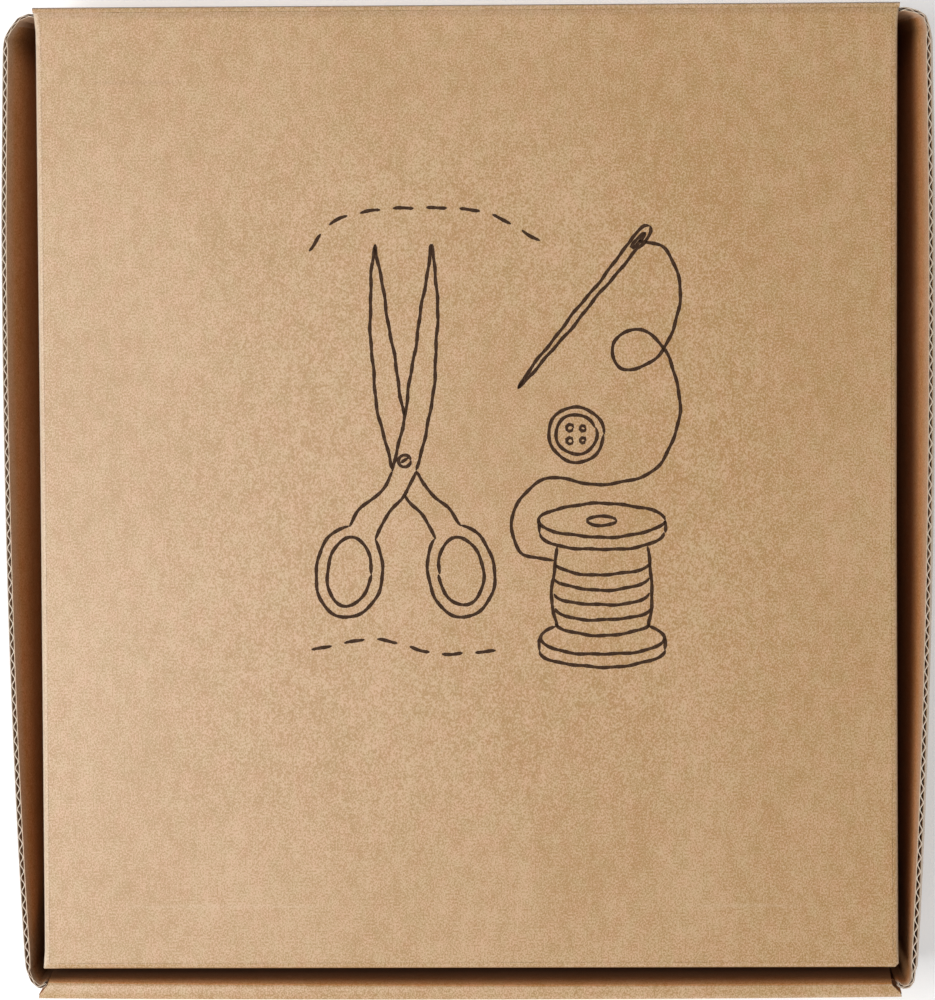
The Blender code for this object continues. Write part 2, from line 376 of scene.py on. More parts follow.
@dataclass
class Finishes:
    """The box's papers and ink, each made once."""

    outside: Kraft = Kraft("kraft_outside", (0.596, 0.357, 0.163))
    inside: Kraft = Kraft("kraft_inside", (0.68, 0.315, 0.105), grain=0.5, roughness=0.7)
    medium: Kraft = Kraft("kraft_medium", (0.36, 0.20, 0.09), grain=0.3, speck=0.1, roughness=0.8)
    # The outer liner's cut edge is a dark grey that stands in for its shade: painted shade.
    outside_cut: Kraft = Kraft("cut_outer_liner", (0.33, 0.275, 0.25), grain=0.3, roughness=0.9)
    inside_cut: Kraft = Kraft("cut_inner_liner", (0.62, 0.43, 0.29), grain=0.3, roughness=0.9)
    medium_cut: Kraft = Kraft("cut_medium", (0.78, 0.66, 0.55), grain=0.3, roughness=0.9)
    ink: Ink = Ink()

    def __post_init__(self) -> None:
        """Make the materials."""
        papers = {
            Paper.OUTSIDE: self.outside,
            Paper.INSIDE: self.inside,
            Paper.MEDIUM: self.medium,
            Paper.OUTSIDE_CUT: self.outside_cut,
            Paper.INSIDE_CUT: self.inside_cut,
            Paper.MEDIUM_CUT: self.medium_cut,
        }
        self.board = [papers[paper].material() for paper in Paper]
        self.print = [self.ink.material()]


@dataclass
class Shells:
    """Closed shells of quads, gathered into the mesh of one piece."""

    vertices: list[Array] = field(default_factory=list)
    faces: list[Array] = field(default_factory=list)
    papers: list[Array] = field(default_factory=list)
    wear_and_painted_light: list[Array] = field(default_factory=list)
    count: int = 0

    def add(
        self,
        upper: Array,
        lower: Array,
        paper: Paper,
        cells: Array | None = None,
        wear_and_painted_light: Array | None = None,
        rim: Paper | None = None,
        other: tuple[Array, Paper] | None = None,
    ) -> None:
        """Add the closed skin between two grids of points.

        The skin is the kept cells of the upper grid, the same cells of the lower grid the other way
        round, and a wall along every line between a kept cell and a missing one. If its volume, the
        sum of the pyramids from the origin to its faces, comes out below zero, all its faces turn.

        Args:
            upper: grid of points, rows by columns by 3.
            lower: grid of points of the same shape.
            paper: what both faces are.
            cells: which cells of the grid are kept, all of them if left out.
            wear_and_painted_light: how pale each point of the grid is, from -1 to 1: rubbing and painted
                highlight above 0, painted shade below 0.
            rim: what the walls are, the layer's cut edge if left out.
            other: cells that are of another paper, and which.
        """
        rows, columns = upper.shape[:2]
        if cells is None:
            cells = np.ones((rows - 1, columns - 1), bool)
        if wear_and_painted_light is None:
            wear_and_painted_light = np.zeros((rows, columns))
        points = np.concatenate([upper.reshape(-1, 3), lower.reshape(-1, 3)])
        over = np.arange(rows * columns).reshape(rows, columns)
        under = over + rows * columns
        skin = [
            quads(over[:-1, :-1], over[1:, :-1], over[1:, 1:], over[:-1, 1:], cells),
            quads(under[:-1, :-1], under[:-1, 1:], under[1:, 1:], under[1:, :-1], cells),
        ]
        padded = np.pad(cells, 1)
        here = padded[1:-1, 1:-1]
        before, after = here & ~padded[:-2, 1:-1], here & ~padded[2:, 1:-1]
        left, right = here & ~padded[1:-1, :-2], here & ~padded[1:-1, 2:]
        walls = [
            quads(over[:-1, :-1], over[:-1, 1:], under[:-1, 1:], under[:-1, :-1], before),
            quads(over[1:, 1:], over[1:, :-1], under[1:, :-1], under[1:, 1:], after),
            quads(over[1:, :-1], over[:-1, :-1], under[:-1, :-1], under[1:, :-1], left),
            quads(over[:-1, 1:], over[1:, 1:], under[1:, 1:], under[:-1, 1:], right),
        ]
        faces = np.concatenate(skin + walls)
        used, faces = np.unique(faces, return_inverse=True)
        faces = faces.reshape(-1, 4)
        points = points[used]
        a, b, c, d = (points[faces[:, corner]] for corner in range(4))
        volume = np.einsum("ij,ij->", a, np.cross(b, c)) + np.einsum("ij,ij->", a, np.cross(c, d))
        if volume < 0:
            faces = faces[:, ::-1]
        flat = sum(len(part) for part in skin)
        marks = np.full(len(faces), rim.value if rim else paper.value + 3)
        marks[:flat] = paper.value
        if other:
            marks[:flat][np.tile(other[0][cells], 2)] = other[1].value
        self.vertices.append(points)
        self.faces.append(faces + self.count)
        self.papers.append(marks)
        self.wear_and_painted_light.append(np.concatenate([wear_and_painted_light.ravel(), wear_and_painted_light.ravel()])[used])
        self.count += len(points)

    def piece(self, name: str, materials: Sequence[bpy.types.Material]) -> bpy.types.Object:
        """Make the piece, with its place in its mesh.

        Args:
            name: the piece's name.
            materials: what its material slots hold.

        Returns:
            The object, at the origin, smooth but for its sharper edges.
        """
        mesh = bpy.data.meshes.new(name)
        points = np.concatenate(self.vertices) * MM
        mesh.from_pydata(points.tolist(), [], np.concatenate(self.faces).tolist())
        for material in materials:
            mesh.materials.append(material)
        mesh.polygons.foreach_set("material_index", np.concatenate(self.papers).astype(np.int32))
        # The point attribute carries rubbing, painted highlight and painted shade.
        mesh.attributes.new("wear_and_painted_light", "FLOAT", "POINT").data.foreach_set(
            "value", np.concatenate(self.wear_and_painted_light).astype(np.float32)
        )
        mesh.polygons.foreach_set("use_smooth", np.ones(len(mesh.polygons), bool))
        mesh.set_sharp_from_angle(angle=SHARPEST_SMOOTH)
        mesh.update()
        piece = bpy.data.objects.new(name, mesh)
        bpy.context.scene.collection.objects.link(piece)
        return piece


def quads(a: Array, b: Array, c: Array, d: Array, kept: Array) -> Array:
    """Rows of four corner numbers, one for each kept cell."""
    return np.stack([a[kept], b[kept], c[kept], d[kept]], axis=1)


def unit(vectors: Array) -> Array:
    """Vectors of length 1 in the same directions."""
    return vectors / np.linalg.norm(vectors, axis=-1, keepdims=True)


def steps(start: float, end: float, longest: float) -> Array:
    """Even stops from start to end, no further apart than longest."""
    return np.linspace(start, end, max(2, math.ceil(abs(end - start) / longest) + 1))


def fade(values: Array, start: float, run: float) -> Array:
    """0 up to the start, then a straight rise to 1 over the run."""
    return np.clip((values - start) / run, 0.0, 1.0)


def bell(distance: Array, reach: float) -> Array:
    """1 at no distance, falling to about a third at the reach and to nothing past it."""
    return np.exp(-((distance / reach) ** 2))


def run_of(line: Array) -> Array:
    """How far along a line of points each of them lies."""
    return np.concatenate([[0.0], np.cumsum(np.linalg.norm(np.diff(line, axis=0), axis=1))])


def at_stops(stops: Array, run: Array, line: Array) -> Array:
    """Points of a line at stops along its run."""
    return np.stack([np.interp(stops, run, part) for part in line.T], axis=-1)


def across_box(x: Array, rows: Array) -> Array:
    """A grid whose rows go across the box, each with its own y and z."""
    return np.stack([x, *(np.broadcast_to(part[:, None], x.shape) for part in rows.T)], axis=2)


def merged(*stops: Array) -> Array:
    """All the stops in order, without those that nearly repeat the one before.

    Args:
        stops: arrays of stops.

    Returns:
        The stops that are left.
    """
    ordered = np.sort(np.concatenate(stops))
    keep = np.concatenate([[True], np.diff(ordered) > LEAST_STEP])
    return ordered[keep]


@dataclass(frozen=True)
class Profile:
    """A path in a plane with rounded corners, known by its points at stops along its run."""

    run: Array
    points: Array
    normals: Array
    corners: tuple[float, ...]

    @classmethod
    def through(cls, points: Sequence[Sequence[float]], radius: float) -> "Profile":
        """Round off the corners of a line of points.

        A corner becomes an arc that touches both its sides, radius * tan(turn / 2) from the corner.
        The normal is the direction of travel turned a quarter clockwise.

        Args:
            points: the corners, first to last.
            radius: the arcs' radius.

        Returns:
            The rounded path.
        """
        line = np.asarray(points, float)
        headings = np.diff(line, axis=0)
        headings /= np.linalg.norm(headings, axis=1, keepdims=True)
        places, directions, marks = [line[:1]], [headings[:1]], []
        for corner in range(1, len(line) - 1):
            before, after = headings[corner - 1], headings[corner]
            turn = math.atan2(before[0] * after[1] - before[1] * after[0], before @ after)
            reach = radius * math.tan(abs(turn) / 2)
            side = math.copysign(1.0, turn) * np.array([-before[1], before[0]])
            centre = line[corner] - before * reach + side * radius
            angles = np.linspace(0.0, abs(turn), 11)[:, None]
            places.append(centre - side * radius * np.cos(angles) + before * radius * np.sin(angles))
            directions.append(before * np.cos(angles) + side * np.sin(angles))
            marks.append(sum(len(part) for part in places) - 6)
        places.append(line[-1:])
        directions.append(headings[-1:])
        path, heading = np.concatenate(places), np.concatenate(directions)
        run = run_of(path)
        normals = np.stack([heading[:, 1], -heading[:, 0]], axis=1)
        return cls(run, path, normals, tuple(float(run[mark]) for mark in marks))

    def at(self, run: Array) -> tuple[Array, Array]:
        """Points and normals at stops along the run."""
        return at_stops(run, self.run, self.points), unit(at_stops(run, self.run, self.normals))

    def near_corner(self, run: Array, reach: float) -> Array:
        """How close each stop is to a corner: 1 there, falling as a bell to nothing past reach."""
        distance = np.min([np.abs(run - corner) for corner in self.corners], axis=0)
        return bell(distance, reach)


Placing = Callable[[Array], tuple[Array, Array]]


@dataclass
class Board:
    """Corrugated board on a mid surface: two liners and, between them, the medium.

    place gives the mid surface's points and normals, rows by columns by 3, for an array of stops across
    the flutes. A normal has length 1, or less where the board is pressed thin. The medium's height over
    the mid surface is a sine of the run, one wave for each flute, with an amplitude that just touches
    both liners. ruddy says where the outer liner takes the inner one's redder paper, as painted shade;
    swollen is how much thicker the outer liner is made, so that its grey cut edge shows as a band of
    painted shade.
    """

    place: Placing
    length: float
    keys: Array
    crush: Callable[[Array], Array] | None = None
    wear_and_painted_light: Callable[[Array, Array], Array] | None = None
    cells: Callable[[Array], Array] | None = None
    redder_painted_shade: Callable[[Array], Array] | None = None
    phase: float = 0.0
    coarse: float = 5.0
    painted_shade_band: float = 0.0

    def layers(self, shells: Shells) -> None:
        """Add the three layers to a piece's shells.

        Args:
            shells: the piece's shells.
        """
        liner_stops = merged(self.keys, steps(0.0, self.length, self.coarse))
        medium_stops = merged(self.keys, np.arange(0.0, self.length, FLUTE_STEP), [self.length])
        half = BOARD / 2
        # The outer liner can be made thicker so that its grey cut edge shows as a band of painted shade.
        self._layer(shells, liner_stops, half + self.painted_shade_band, half - LINER, Paper.OUTSIDE)
        self._layer(shells, liner_stops, LINER - half, -half, Paper.INSIDE)
        swing = half - LINER - MEDIUM / 2
        turn = 2 * math.pi / FLUTE_PITCH
        wave = swing * np.sin(turn * medium_stops + self.phase)
        slope = swing * turn * np.cos(turn * medium_stops + self.phase)
        thick = MEDIUM / 2 * np.sqrt(1 + slope**2)
        self._layer(shells, medium_stops, wave + thick, wave - thick, Paper.MEDIUM)

    def _layer(
        self, shells: Shells, stops: Array, over: float | Array, under: float | Array, paper: Paper
    ) -> None:
        """Add one layer, which lies between two heights over the mid surface.

        Args:
            shells: the piece's shells.
            stops: stops across the flutes.
            over: the upper height.
            under: the lower height.
            paper: which layer it is.
        """
        points, normals = self.place(stops)
        squeeze = self.crush(stops) if self.crush else np.ones(len(stops))
        over = (np.broadcast_to(over, stops.shape) * squeeze)[:, None, None]
        under = (np.broadcast_to(under, stops.shape) * squeeze)[:, None, None]
        cells = self.cells(stops) if self.cells else None
        wear_and_painted_light = self.wear_and_painted_light(stops, points) if self.wear_and_painted_light else None
        other = None
        # The outer liner takes the redder inside paper where asked: painted shade.
        if self.redder_painted_shade and paper is Paper.OUTSIDE:
            middle = self.redder_painted_shade((stops[1:] + stops[:-1]) / 2)[:, None]
            other = np.broadcast_to(middle, (len(stops) - 1, points.shape[1] - 1)), Paper.INSIDE
        shells.add(points + normals * over, points + normals * under, paper, cells, wear_and_painted_light, other=other)


# How far from a circle a fold is, how much of it its inner skin keeps, and its pale crown, in radians; the
# crown's paleness is rubbing and painted highlight
FOLD_POWER = 0.65
FOLD_INSIDE = 0.25
CROWN_ANGLE = 0.85
CROWN_WIDTH = 0.45


def fold_strip(
    shells: Shells,
    roots: Array,
    outs: Array,
    top: float,
    depth: float,
    worn: float | Array = 0.0,
    paint_far_shade: bool = False,
) -> None:
    """Add a fold along an edge: the board bent round a quarter turn, crushed inside.

    At a station, a point on the outer skin is root + (out - root) * sin(a) ** power across and
    top - depth * (1 - cos(a) ** power) high, for a from 0 to 90 degrees, which is squarer than a circle.
    The inner skin is the same with both runs cut down.

    Args:
        shells: the piece's shells.
        roots: stations by 2, where the flat panel ends.
        outs: stations by 2, the fold's outermost line.
        top: height of the panel's face.
        depth: from there to where the fold ends; below zero, the fold goes up.
        worn: how pale the fold's crown is, all along or at each station: rubbing, and painted highlight where
            it is strong.
        paint_far_shade: whether its far side takes the grey of a cut edge, as painted shade.
    """
    angles = np.linspace(0.0, math.pi / 2, 13)
    across, up = np.sin(angles) ** FOLD_POWER, np.clip(np.cos(angles), 0.0, 1.0) ** FOLD_POWER
    skins = []
    for share in (1.0, FOLD_INSIDE):
        plan = roots[:, None] + (outs - roots)[:, None] * (across * share)[None, :, None]
        height = np.broadcast_to(top - depth * (1 - up) * share, plan.shape[:2])
        skins.append(np.concatenate([plan, height[:, :, None]], axis=2))
    # The crown is paler: rubbing, and painted highlight.
    wear_and_painted_light = np.broadcast_to(worn, len(roots))[:, None] * bell(angles - CROWN_ANGLE, CROWN_WIDTH)
    # The far side may take the grey cut-edge paper: painted shade.
    far = np.broadcast_to(paint_far_shade & (angles[1:] > CROWN_ANGLE), (len(roots) - 1, len(angles) - 1))
    shells.add(skins[0], skins[1], Paper.OUTSIDE, wear_and_painted_light=wear_and_painted_light, other=(far, Paper.OUTSIDE_CUT))


def line_between(start: Sequence[float], end: Sequence[float], count: int = 2) -> Array:
    """Even points on a straight line, rows by axes."""
    share = np.linspace(0.0, 1.0, count)[:, None]
    return np.asarray(start, float) * (1 - share) + np.asarray(end, float) * share


def dense(points: Sequence[Sequence[float]], count: int = 4) -> Array:
    """The same line of points with each stretch cut into equal parts.

    Args:
        points: the points.
        count: how many parts.

    Returns:
        Points on the line.
    """
    line = np.asarray(points, float)
    parts = [line_between(start, end, count + 1)[1:] for start, end in zip(line[:-1], line[1:])]
    return np.concatenate([line[:1], *parts])


@dataclass
class TrayStrip:
    """The tray's middle strip: inner front panel, strip over the top, outer front panel, bottom, back.

    It is one sheet, carried along a rounded path in the side view, with the flutes across the box.
    """

    finishes: Finishes
    back_half: float = 103.65
    back_top_half: float = 103.2
    bottom_half: float = BOTTOM_HALF
    front_half: float = 103.25
    inner_half: float = 100.9
    front_shift: float = -0.2
    tab_centre: float = 50.0
    tab_half: float = 12.0
    slot_half: float = 12.45
    slot_front: float = -109.98
    slot_back: float = -107.45
    tab_end: float = 0.2
    fold_radius: float = 0.5
    inner_lean: float = 6.8
    inner_face: float = -114.7
    roll_drop: float = 0.05
    crease_crush: float = 0.38
    crease_reach: float = 0.9
    crease_rub: float = 0.03
    rub_reach: float = 0.5
    inner_shade: float = 0.35
    depth_shade: float = 0.6
    shade_depth: float = 12.0
    inner_shift: float = -0.10
    inner_skew: float = -0.35
    inner_bow: float = -0.6
    outer_shift: float = -0.45
    outer_bow: float = -0.5

    def outer_mid(self, z: float) -> float:
        """Mid board of the outer front panel at a height."""
        return -HINGE_Y + OUTER_LEAN * (1 - z / LID_TOP) + BOARD / 2

    def inner_mid(self, z: float) -> float:
        """Mid board of the inner front panel at a height."""
        return self.inner_face + self.inner_lean * (1 - z / LID_TOP) - BOARD / 2

    def profile(self) -> Profile:
        """Side view of the sheet at mid board, from the tabs' ends round to the back wall's top.

        Returns:
            The rounded path.
        """
        roll = LID_TOP - self.roll_drop - BOARD / 2
        floor = BOARD / 2
        back = HINGE_Y - BOARD / 2
        return Profile.through(
            [
                (self.inner_mid(self.tab_end), self.tab_end),
                (self.inner_mid(roll), roll),
                (self.outer_mid(roll), roll),
                (self.outer_mid(floor), floor),
                (back, floor),
                (back, FLAP_TOP),
            ],
            self.fold_radius,
        )

    def build(self) -> bpy.types.Object:
        """Make the sheet, with its tabs and their slots.

        Returns:
            The piece.
        """
        path = self.profile()
        roll_inner, roll_outer, front_foot, back_foot = path.corners
        length = float(path.run[-1])
        foot = np.interp(STANDING, path.points[:5, 1], path.run[:5])
        bottom = (path.run > front_foot) & (path.run < back_foot)
        slots = np.interp((self.slot_front, self.slot_back), path.points[bottom, 0], path.run[bottom])
        ends = np.array([0.0, roll_inner, roll_outer, front_foot, back_foot - 0.2, back_foot + 0.2, length])
        halves = np.array(
            [self.inner_half, self.inner_half, self.front_half, self.bottom_half, self.bottom_half]
            + [self.back_half, self.back_top_half]
        )
        inner, edge = self.tab_centre - self.slot_half, self.tab_centre + self.slot_half
        lines = [0.0, inner / 2, inner, self.tab_centre - self.tab_half, self.tab_centre]
        lines = np.array([*lines, self.tab_centre + self.tab_half, edge])
        lines = np.concatenate([-lines[:0:-1], lines])
        shares = np.linspace(0.0, 1.0, 6)[1:]

        def place(stops: Array) -> tuple[Array, Array]:
            """Points and normals across the sheet: its margins stretch to the half width.

            The front bows out at its top by a parabola across the box, which fades with the square of
            the way down.

            Args:
                stops: stops along the sheet.

            Returns:
                Points and normals, rows by columns by 3.
            """
            points, normals = path.at(stops)
            half = np.interp(stops, ends, halves)
            margin = edge + (half - edge)[:, None] * shares
            middle = np.broadcast_to(lines, (len(stops), len(lines)))
            x = np.concatenate([-margin[:, ::-1], middle, margin], axis=1)
            marks = [foot, roll_inner, roll_outer, front_foot]
            shift = self.front_shift * np.interp(stops, marks, [0, 1, 1, 0])
            x = x + shift[:, None] * (np.abs(x) > edge)
            grid = across_box(x, points)
            share = x / self.front_half
            inner = np.interp(stops, marks, [0, 1, 0, 0])[:, None] ** 2
            outer = np.interp(stops, marks, [0, 0, 1, 0])[:, None] ** 2
            bow = 1 - share**2
            grid[:, :, 1] += inner * (self.inner_shift + self.inner_skew * share + self.inner_bow * bow)
            grid[:, :, 1] += outer * (self.outer_shift + self.outer_bow * bow)
            return grid, across_box(np.zeros(x.shape), normals)

        def cells(stops: Array) -> Array:
            """Leave out what lies beside the tabs, and the slots.

            Args:
                stops: stops along the sheet.

            Returns:
                Which cells are kept.
            """
            middle = (stops[1:] + stops[:-1]) / 2
            margin = np.full(len(shares), self.front_half)
            across = np.concatenate([-margin, (lines[1:] + lines[:-1]) / 2, margin])
            beside = np.abs(np.abs(across) - self.tab_centre)
            kept = np.ones((len(middle), len(across)), bool)
            kept[middle < foot] = beside < self.tab_half
            kept[(middle > slots[0]) & (middle < slots[1])] = beside > self.slot_half
            return kept

        def crush(stops: Array) -> Array:
            """The board is thinner along its creases."""
            return 1 - self.crease_crush * path.near_corner(stops, self.crease_reach)

        def wear_and_painted_light(stops: Array, grid: Array) -> Array:
            """It is rubbed along its creases, and painted shade darkens it down the inner panel.

            Args:
                stops: stops along the sheet.
                grid: its points.

            Returns:
                How rubbed each point is, with painted shade below 0.
            """
            depth = np.maximum(roll_inner - stops, 0.0)
            worn = self.crease_rub * path.near_corner(stops, self.rub_reach)
            # Painted shade: darker down the inner panel, into the gap under the lid.
            worn -= self.inner_shade * fade(depth, 0.0, 1.0)
            worn -= self.depth_shade * fade(depth, 0.0, self.shade_depth)
            return np.broadcast_to(worn[:, None], grid.shape[:2])

        def redder_painted_shade(stops: Array) -> Array:
            """The inner panel takes the redder inside paper: painted shade down in the gap."""
            return stops < roll_inner

        shells = Shells()
        keys = np.concatenate([path.run, [foot, *slots], ends])
        Board(place, length, keys, crush, wear_and_painted_light, cells, redder_painted_shade).layers(shells)
        piece = shells.piece("tray_strip", self.finishes.board)
        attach(piece, "tray")
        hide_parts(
            "bottom_panel", "back_wall", "front_wall_outer", "front_wall_top", "front_wall_inner"
        )
        return piece


@dataclass(frozen=True)
class Bends:
    """Top edge of a side board where it bends, mid board, as if on the right side.

    front goes from the end of the wall round to the front corner flap, rear from the other end of the
    wall round to the rear corner flap. The crease down to the tray's corner starts at the third point
    of each. rub is how rubbed the top edge is, bulge the power by which the wall leans out more
    towards its top, and swollen how much thicker the outer liner is made, so that its grey cut edge
    shows as a band of painted shade.
    """

    front: tuple[tuple[float, float], ...]
    rear: tuple[tuple[float, float], ...]
    rub: float
    bulge: float
    painted_shade_band: float = 0.0


BENDS = {
    Side.LEFT: Bends(
        front=(
            (106.1, -112.2), (105.2, -114.5), (103.8, -115.8),
            (103.0, -116.0), (102.2, -115.6), (101.9, -114.9),
        ),
        rear=(
            (110.0, 111.2), (108.9, 113.2), (106.9, 115.8),
            (105.3, 116.45), (104.4, 116.8), (103.5, 116.65),
        ),
        rub=0.45,
        bulge=2.8,
    ),
    Side.RIGHT: Bends(
        front=(
            (106.0, -112.6), (105.7, -115.0), (104.8, -116.2),
            (103.6, -116.4), (102.7, -116.0), (102.1, -115.3),
        ),
        rear=(
            (110.2, 112.2), (109.3, 115.0), (107.8, 116.0),
            (105.9, 116.6), (104.5, 116.9), (103.5, 116.65),
        ),
        rub=0.50,
        bulge=2.1,
        painted_shade_band=0.25,
    ),
}


@dataclass
class SideBoard:
    """One side of the tray: front corner flap, wall and rear corner flap in one bent, bowed sheet."""

    finishes: Finishes
    side: Side
    middle: float = 103.7
    top: float = 50.1
    rear_flap_y: float = 116.1
    flap: float = 45.0
    front_flap_top: float = 37.6
    most_flare: float = 7.0
    flare_peak: float = 0.8
    flare_power: float = 2.3
    shoulder: float = 0.5
    play: float = 0.4
    foot_share: float = 0.8
    settling: float = 6.0
    crushed: float = 0.45
    bend_reach: float = 1.5
    bend_rub: float = 0.15
    rub_depth: float = 4.5
    wall_shade: float = 0.45
    corner_shade: float = 0.95
    corner_reach: float = 9.0
    facet_painted_light: float = 0.6
    facet_depth: float = 24.0
    facet_share: float = 0.6
    facet_past: float = 4.0
    foot_fold: float = 1.5
    foot_rub: float = 0.3

    def front_flap_y(self, z: float) -> float:
        """Mid board of the front corner flap, which lies behind the outer front panel."""
        return -HINGE_Y + OUTER_LEAN * (1 - z / LID_TOP) + BOARD + self.play + BOARD / 2

    def wall_top(self, front: Array, rear: Array) -> Array:
        """Top edge of the wall: it bows out by a power of the distance from its widest place.

        Args:
            front: the edge's first point.
            rear: its last point.

        Returns:
            Points on the edge.
        """
        share = np.linspace(0.0, 1.0, 60)
        fall = np.abs((share - self.flare_peak) / self.flare_peak) ** self.flare_power
        bow = self.middle + self.most_flare - (self.middle + self.most_flare - front[0]) * fall
        bow += (rear[0] - bow[-1]) * fade(share, self.flare_peak, 1 - self.flare_peak)
        return np.stack([bow, front[1] + (rear[1] - front[1]) * share], axis=1)

    def bend_foot(self, top: Array, knot: Sequence[float], corner_y: float, way: float) -> Array:
        """Foot of a bend: along the wall to the tray's corner, then along the end panel.

        Args:
            top: points on the bend's top edge, from the wall on.
            knot: the point of them where the crease starts.
            corner_y: where the end panel lies.
            way: 1 at the rear, -1 at the front.

        Returns:
            As many points on the foot, spaced by a share of the run at the top.
        """
        run = run_of(top)
        crease = run[np.argmin(np.linalg.norm(top - np.asarray(knot), axis=1))]
        past = self.foot_share * (run - crease)
        return np.stack([self.middle - np.maximum(past, 0.0), corner_y + way * np.minimum(past, 0.0)], axis=1)

    def edges(self) -> tuple[Array, Array, Array]:
        """The sheet's foot and top edge for the right side, from the front flap's end to the rear's.

        Returns:
            Points on the foot, as many points on the top edge, and how many each stretch has.
        """
        bends = BENDS[self.side]
        front, rear = dense(bends.front), dense(bends.rear)
        wall = self.wall_top(front[0], rear[0])[1:]
        foot_y = self.front_flap_y(STANDING)
        front_foot = self.bend_foot(front, bends.front[2], foot_y, -1.0)[::-1]
        rear_foot = self.bend_foot(rear, bends.rear[2], self.rear_flap_y, 1.0)
        front = front[::-1]
        flap_y = self.front_flap_y(self.front_flap_top)
        flap_x = front[0, 0] - self.shoulder
        flap_end = rear[-1, 0] - self.flap
        settled = (rear[-1, 0] - self.settling, self.rear_flap_y)
        tops = [
            line_between((flap_x - self.flap, flap_y), (flap_x, flap_y), 12),
            front,
            wall,
            rear[1:],
            dense([rear[-1], settled, (flap_end, self.rear_flap_y)], 8)[1:],
        ]
        settled = (rear_foot[-1, 0] - self.settling, self.rear_flap_y)
        feet = [
            line_between((front_foot[0, 0] - self.flap, foot_y), front_foot[0] - (0.3, 0.0), 12),
            front_foot,
            line_between(front_foot[-1], rear_foot[0], len(wall) + 1)[1:],
            rear_foot[1:],
            dense([rear_foot[-1], settled, (flap_end, self.rear_flap_y)], 8)[1:],
        ]
        counts = np.array([len(part) for part in tops])
        heights = [np.full(count, self.top) for count in counts]
        heights[0][:] = self.front_flap_top
        foot = np.column_stack([np.concatenate(feet), np.full(counts.sum(), STANDING)])
        return foot, np.column_stack([np.concatenate(tops), np.concatenate(heights)]), counts

    def build(self) -> bpy.types.Object:
        """Make the sheet, ruled between its foot and its top edge, and the fold that carries it.

        Returns:
            The piece.
        """
        low, high, counts = self.edges()
        run = run_of(high[:, :2])
        length = float(run[-1])
        ends = np.cumsum(counts) - 1
        bends = run[ends[:4]].reshape(2, 2)
        rise = np.append(np.linspace(0.0, 0.85, 9), [0.9, 0.94, 0.97, 1.0])[None, :, None]
        sign = self.side.value
        if self.side is Side.LEFT:
            low, high = low[::-1] * (-1, 1, 1), high[::-1] * (-1, 1, 1)
            run, bends = length - run[::-1], length - bends[:, ::-1]
        start, end = bends[1]
        reach, past = self.facet_share * (end - start), self.facet_past
        if self.side is Side.RIGHT:
            front_flap, facet = (-1.0, bends[0, 0]), (end - reach, end + past)
        else:
            front_flap, facet = (bends[0, 1], length + 1.0), (start - past, start + reach)

        def edge(stops: Array, line: Array) -> Array:
            """Points on an edge, with its kinks a little softened.

            Args:
                stops: stops along the sheet.
                line: the edge's points.

            Returns:
                The mean of five points around each stop.
            """
            spread = np.array([-0.2, -0.1, 0.0, 0.1, 0.2])
            wanted = np.clip(stops[:, None] + spread, 0.0, length)
            return at_stops(wanted, run, line).mean(axis=1)

        def ruled(stops: Array, share: Array) -> Array:
            """Points a share of the way up, which lean out more towards the top.

            Args:
                stops: stops along the sheet.
                share: shares of the way, each a column.

            Returns:
                Points, rows by columns by 3.
            """
            foot, head = edge(stops, low)[:, None], edge(stops, high)[:, None]
            lean = np.abs(share) ** BENDS[self.side].bulge * np.sign(share)
            way = np.concatenate([lean, lean, share], axis=2)
            return foot * (1 - way) + head * way

        def place(stops: Array) -> tuple[Array, Array]:
            """Points and normals at shares of the way from the foot to the top edge.

            Args:
                stops: stops along the sheet.

            Returns:
                Points and normals, rows by columns by 3.
            """
            grid = ruled(stops, rise)
            ahead, higher = 0.12, 0.01
            along = ruled(stops + ahead, rise) - ruled(stops - ahead, rise)
            upward = ruled(stops, rise + higher) - ruled(stops, rise - higher)
            return grid, unit(np.cross(along, upward))

        def bent(stops: Array) -> Array:
            """1 where the board is bent, and nothing further away than the reach."""
            gaps = [np.maximum(start - stops, stops - end) for start, end in bends]
            return 1 - fade(np.min(gaps, axis=0), 0.0, self.bend_reach)

        def crush(stops: Array) -> Array:
            """The board is thinner where it's bent."""
            return 1 - self.crushed * bent(stops)

        def wear_and_painted_light(stops: Array, grid: Array) -> Array:
            """Rubbed along the top edge and bends; painted light on the rear corner's facet; painted shade
            down the wall, darkest down the front corner.

            Args:
                stops: stops along the sheet.
                grid: its points.

            Returns:
                How rubbed each point is, with painted light on the facet, darker below 0 with painted shade.
            """
            down = self.top - grid[:, :, 2]
            rub = BENDS[self.side].rub + self.bend_rub * bent(stops)[:, None]
            # Painted shade: darker down the wall, darkest down the front corner flap.
            away = np.maximum(front_flap[0] - stops, stops - front_flap[1])[:, None]
            tucked = self.corner_shade * (1 - fade(away, 0.0, self.corner_reach))
            shaded = np.maximum(self.wall_shade * fade(down, 2.0, 10.0), tucked)
            worn = rub * (1 - fade(down, 0.0, self.rub_depth)) - shaded * fade(down, 3.0, 6.0)
            # Painted light on the rear corner's facet, fading downwards.
            lit = ((stops > facet[0]) & (stops < facet[1]))[:, None]
            return np.where(lit, self.facet_painted_light * (1 - fade(down, 0.0, self.facet_depth)), worn)

        shells = Shells()
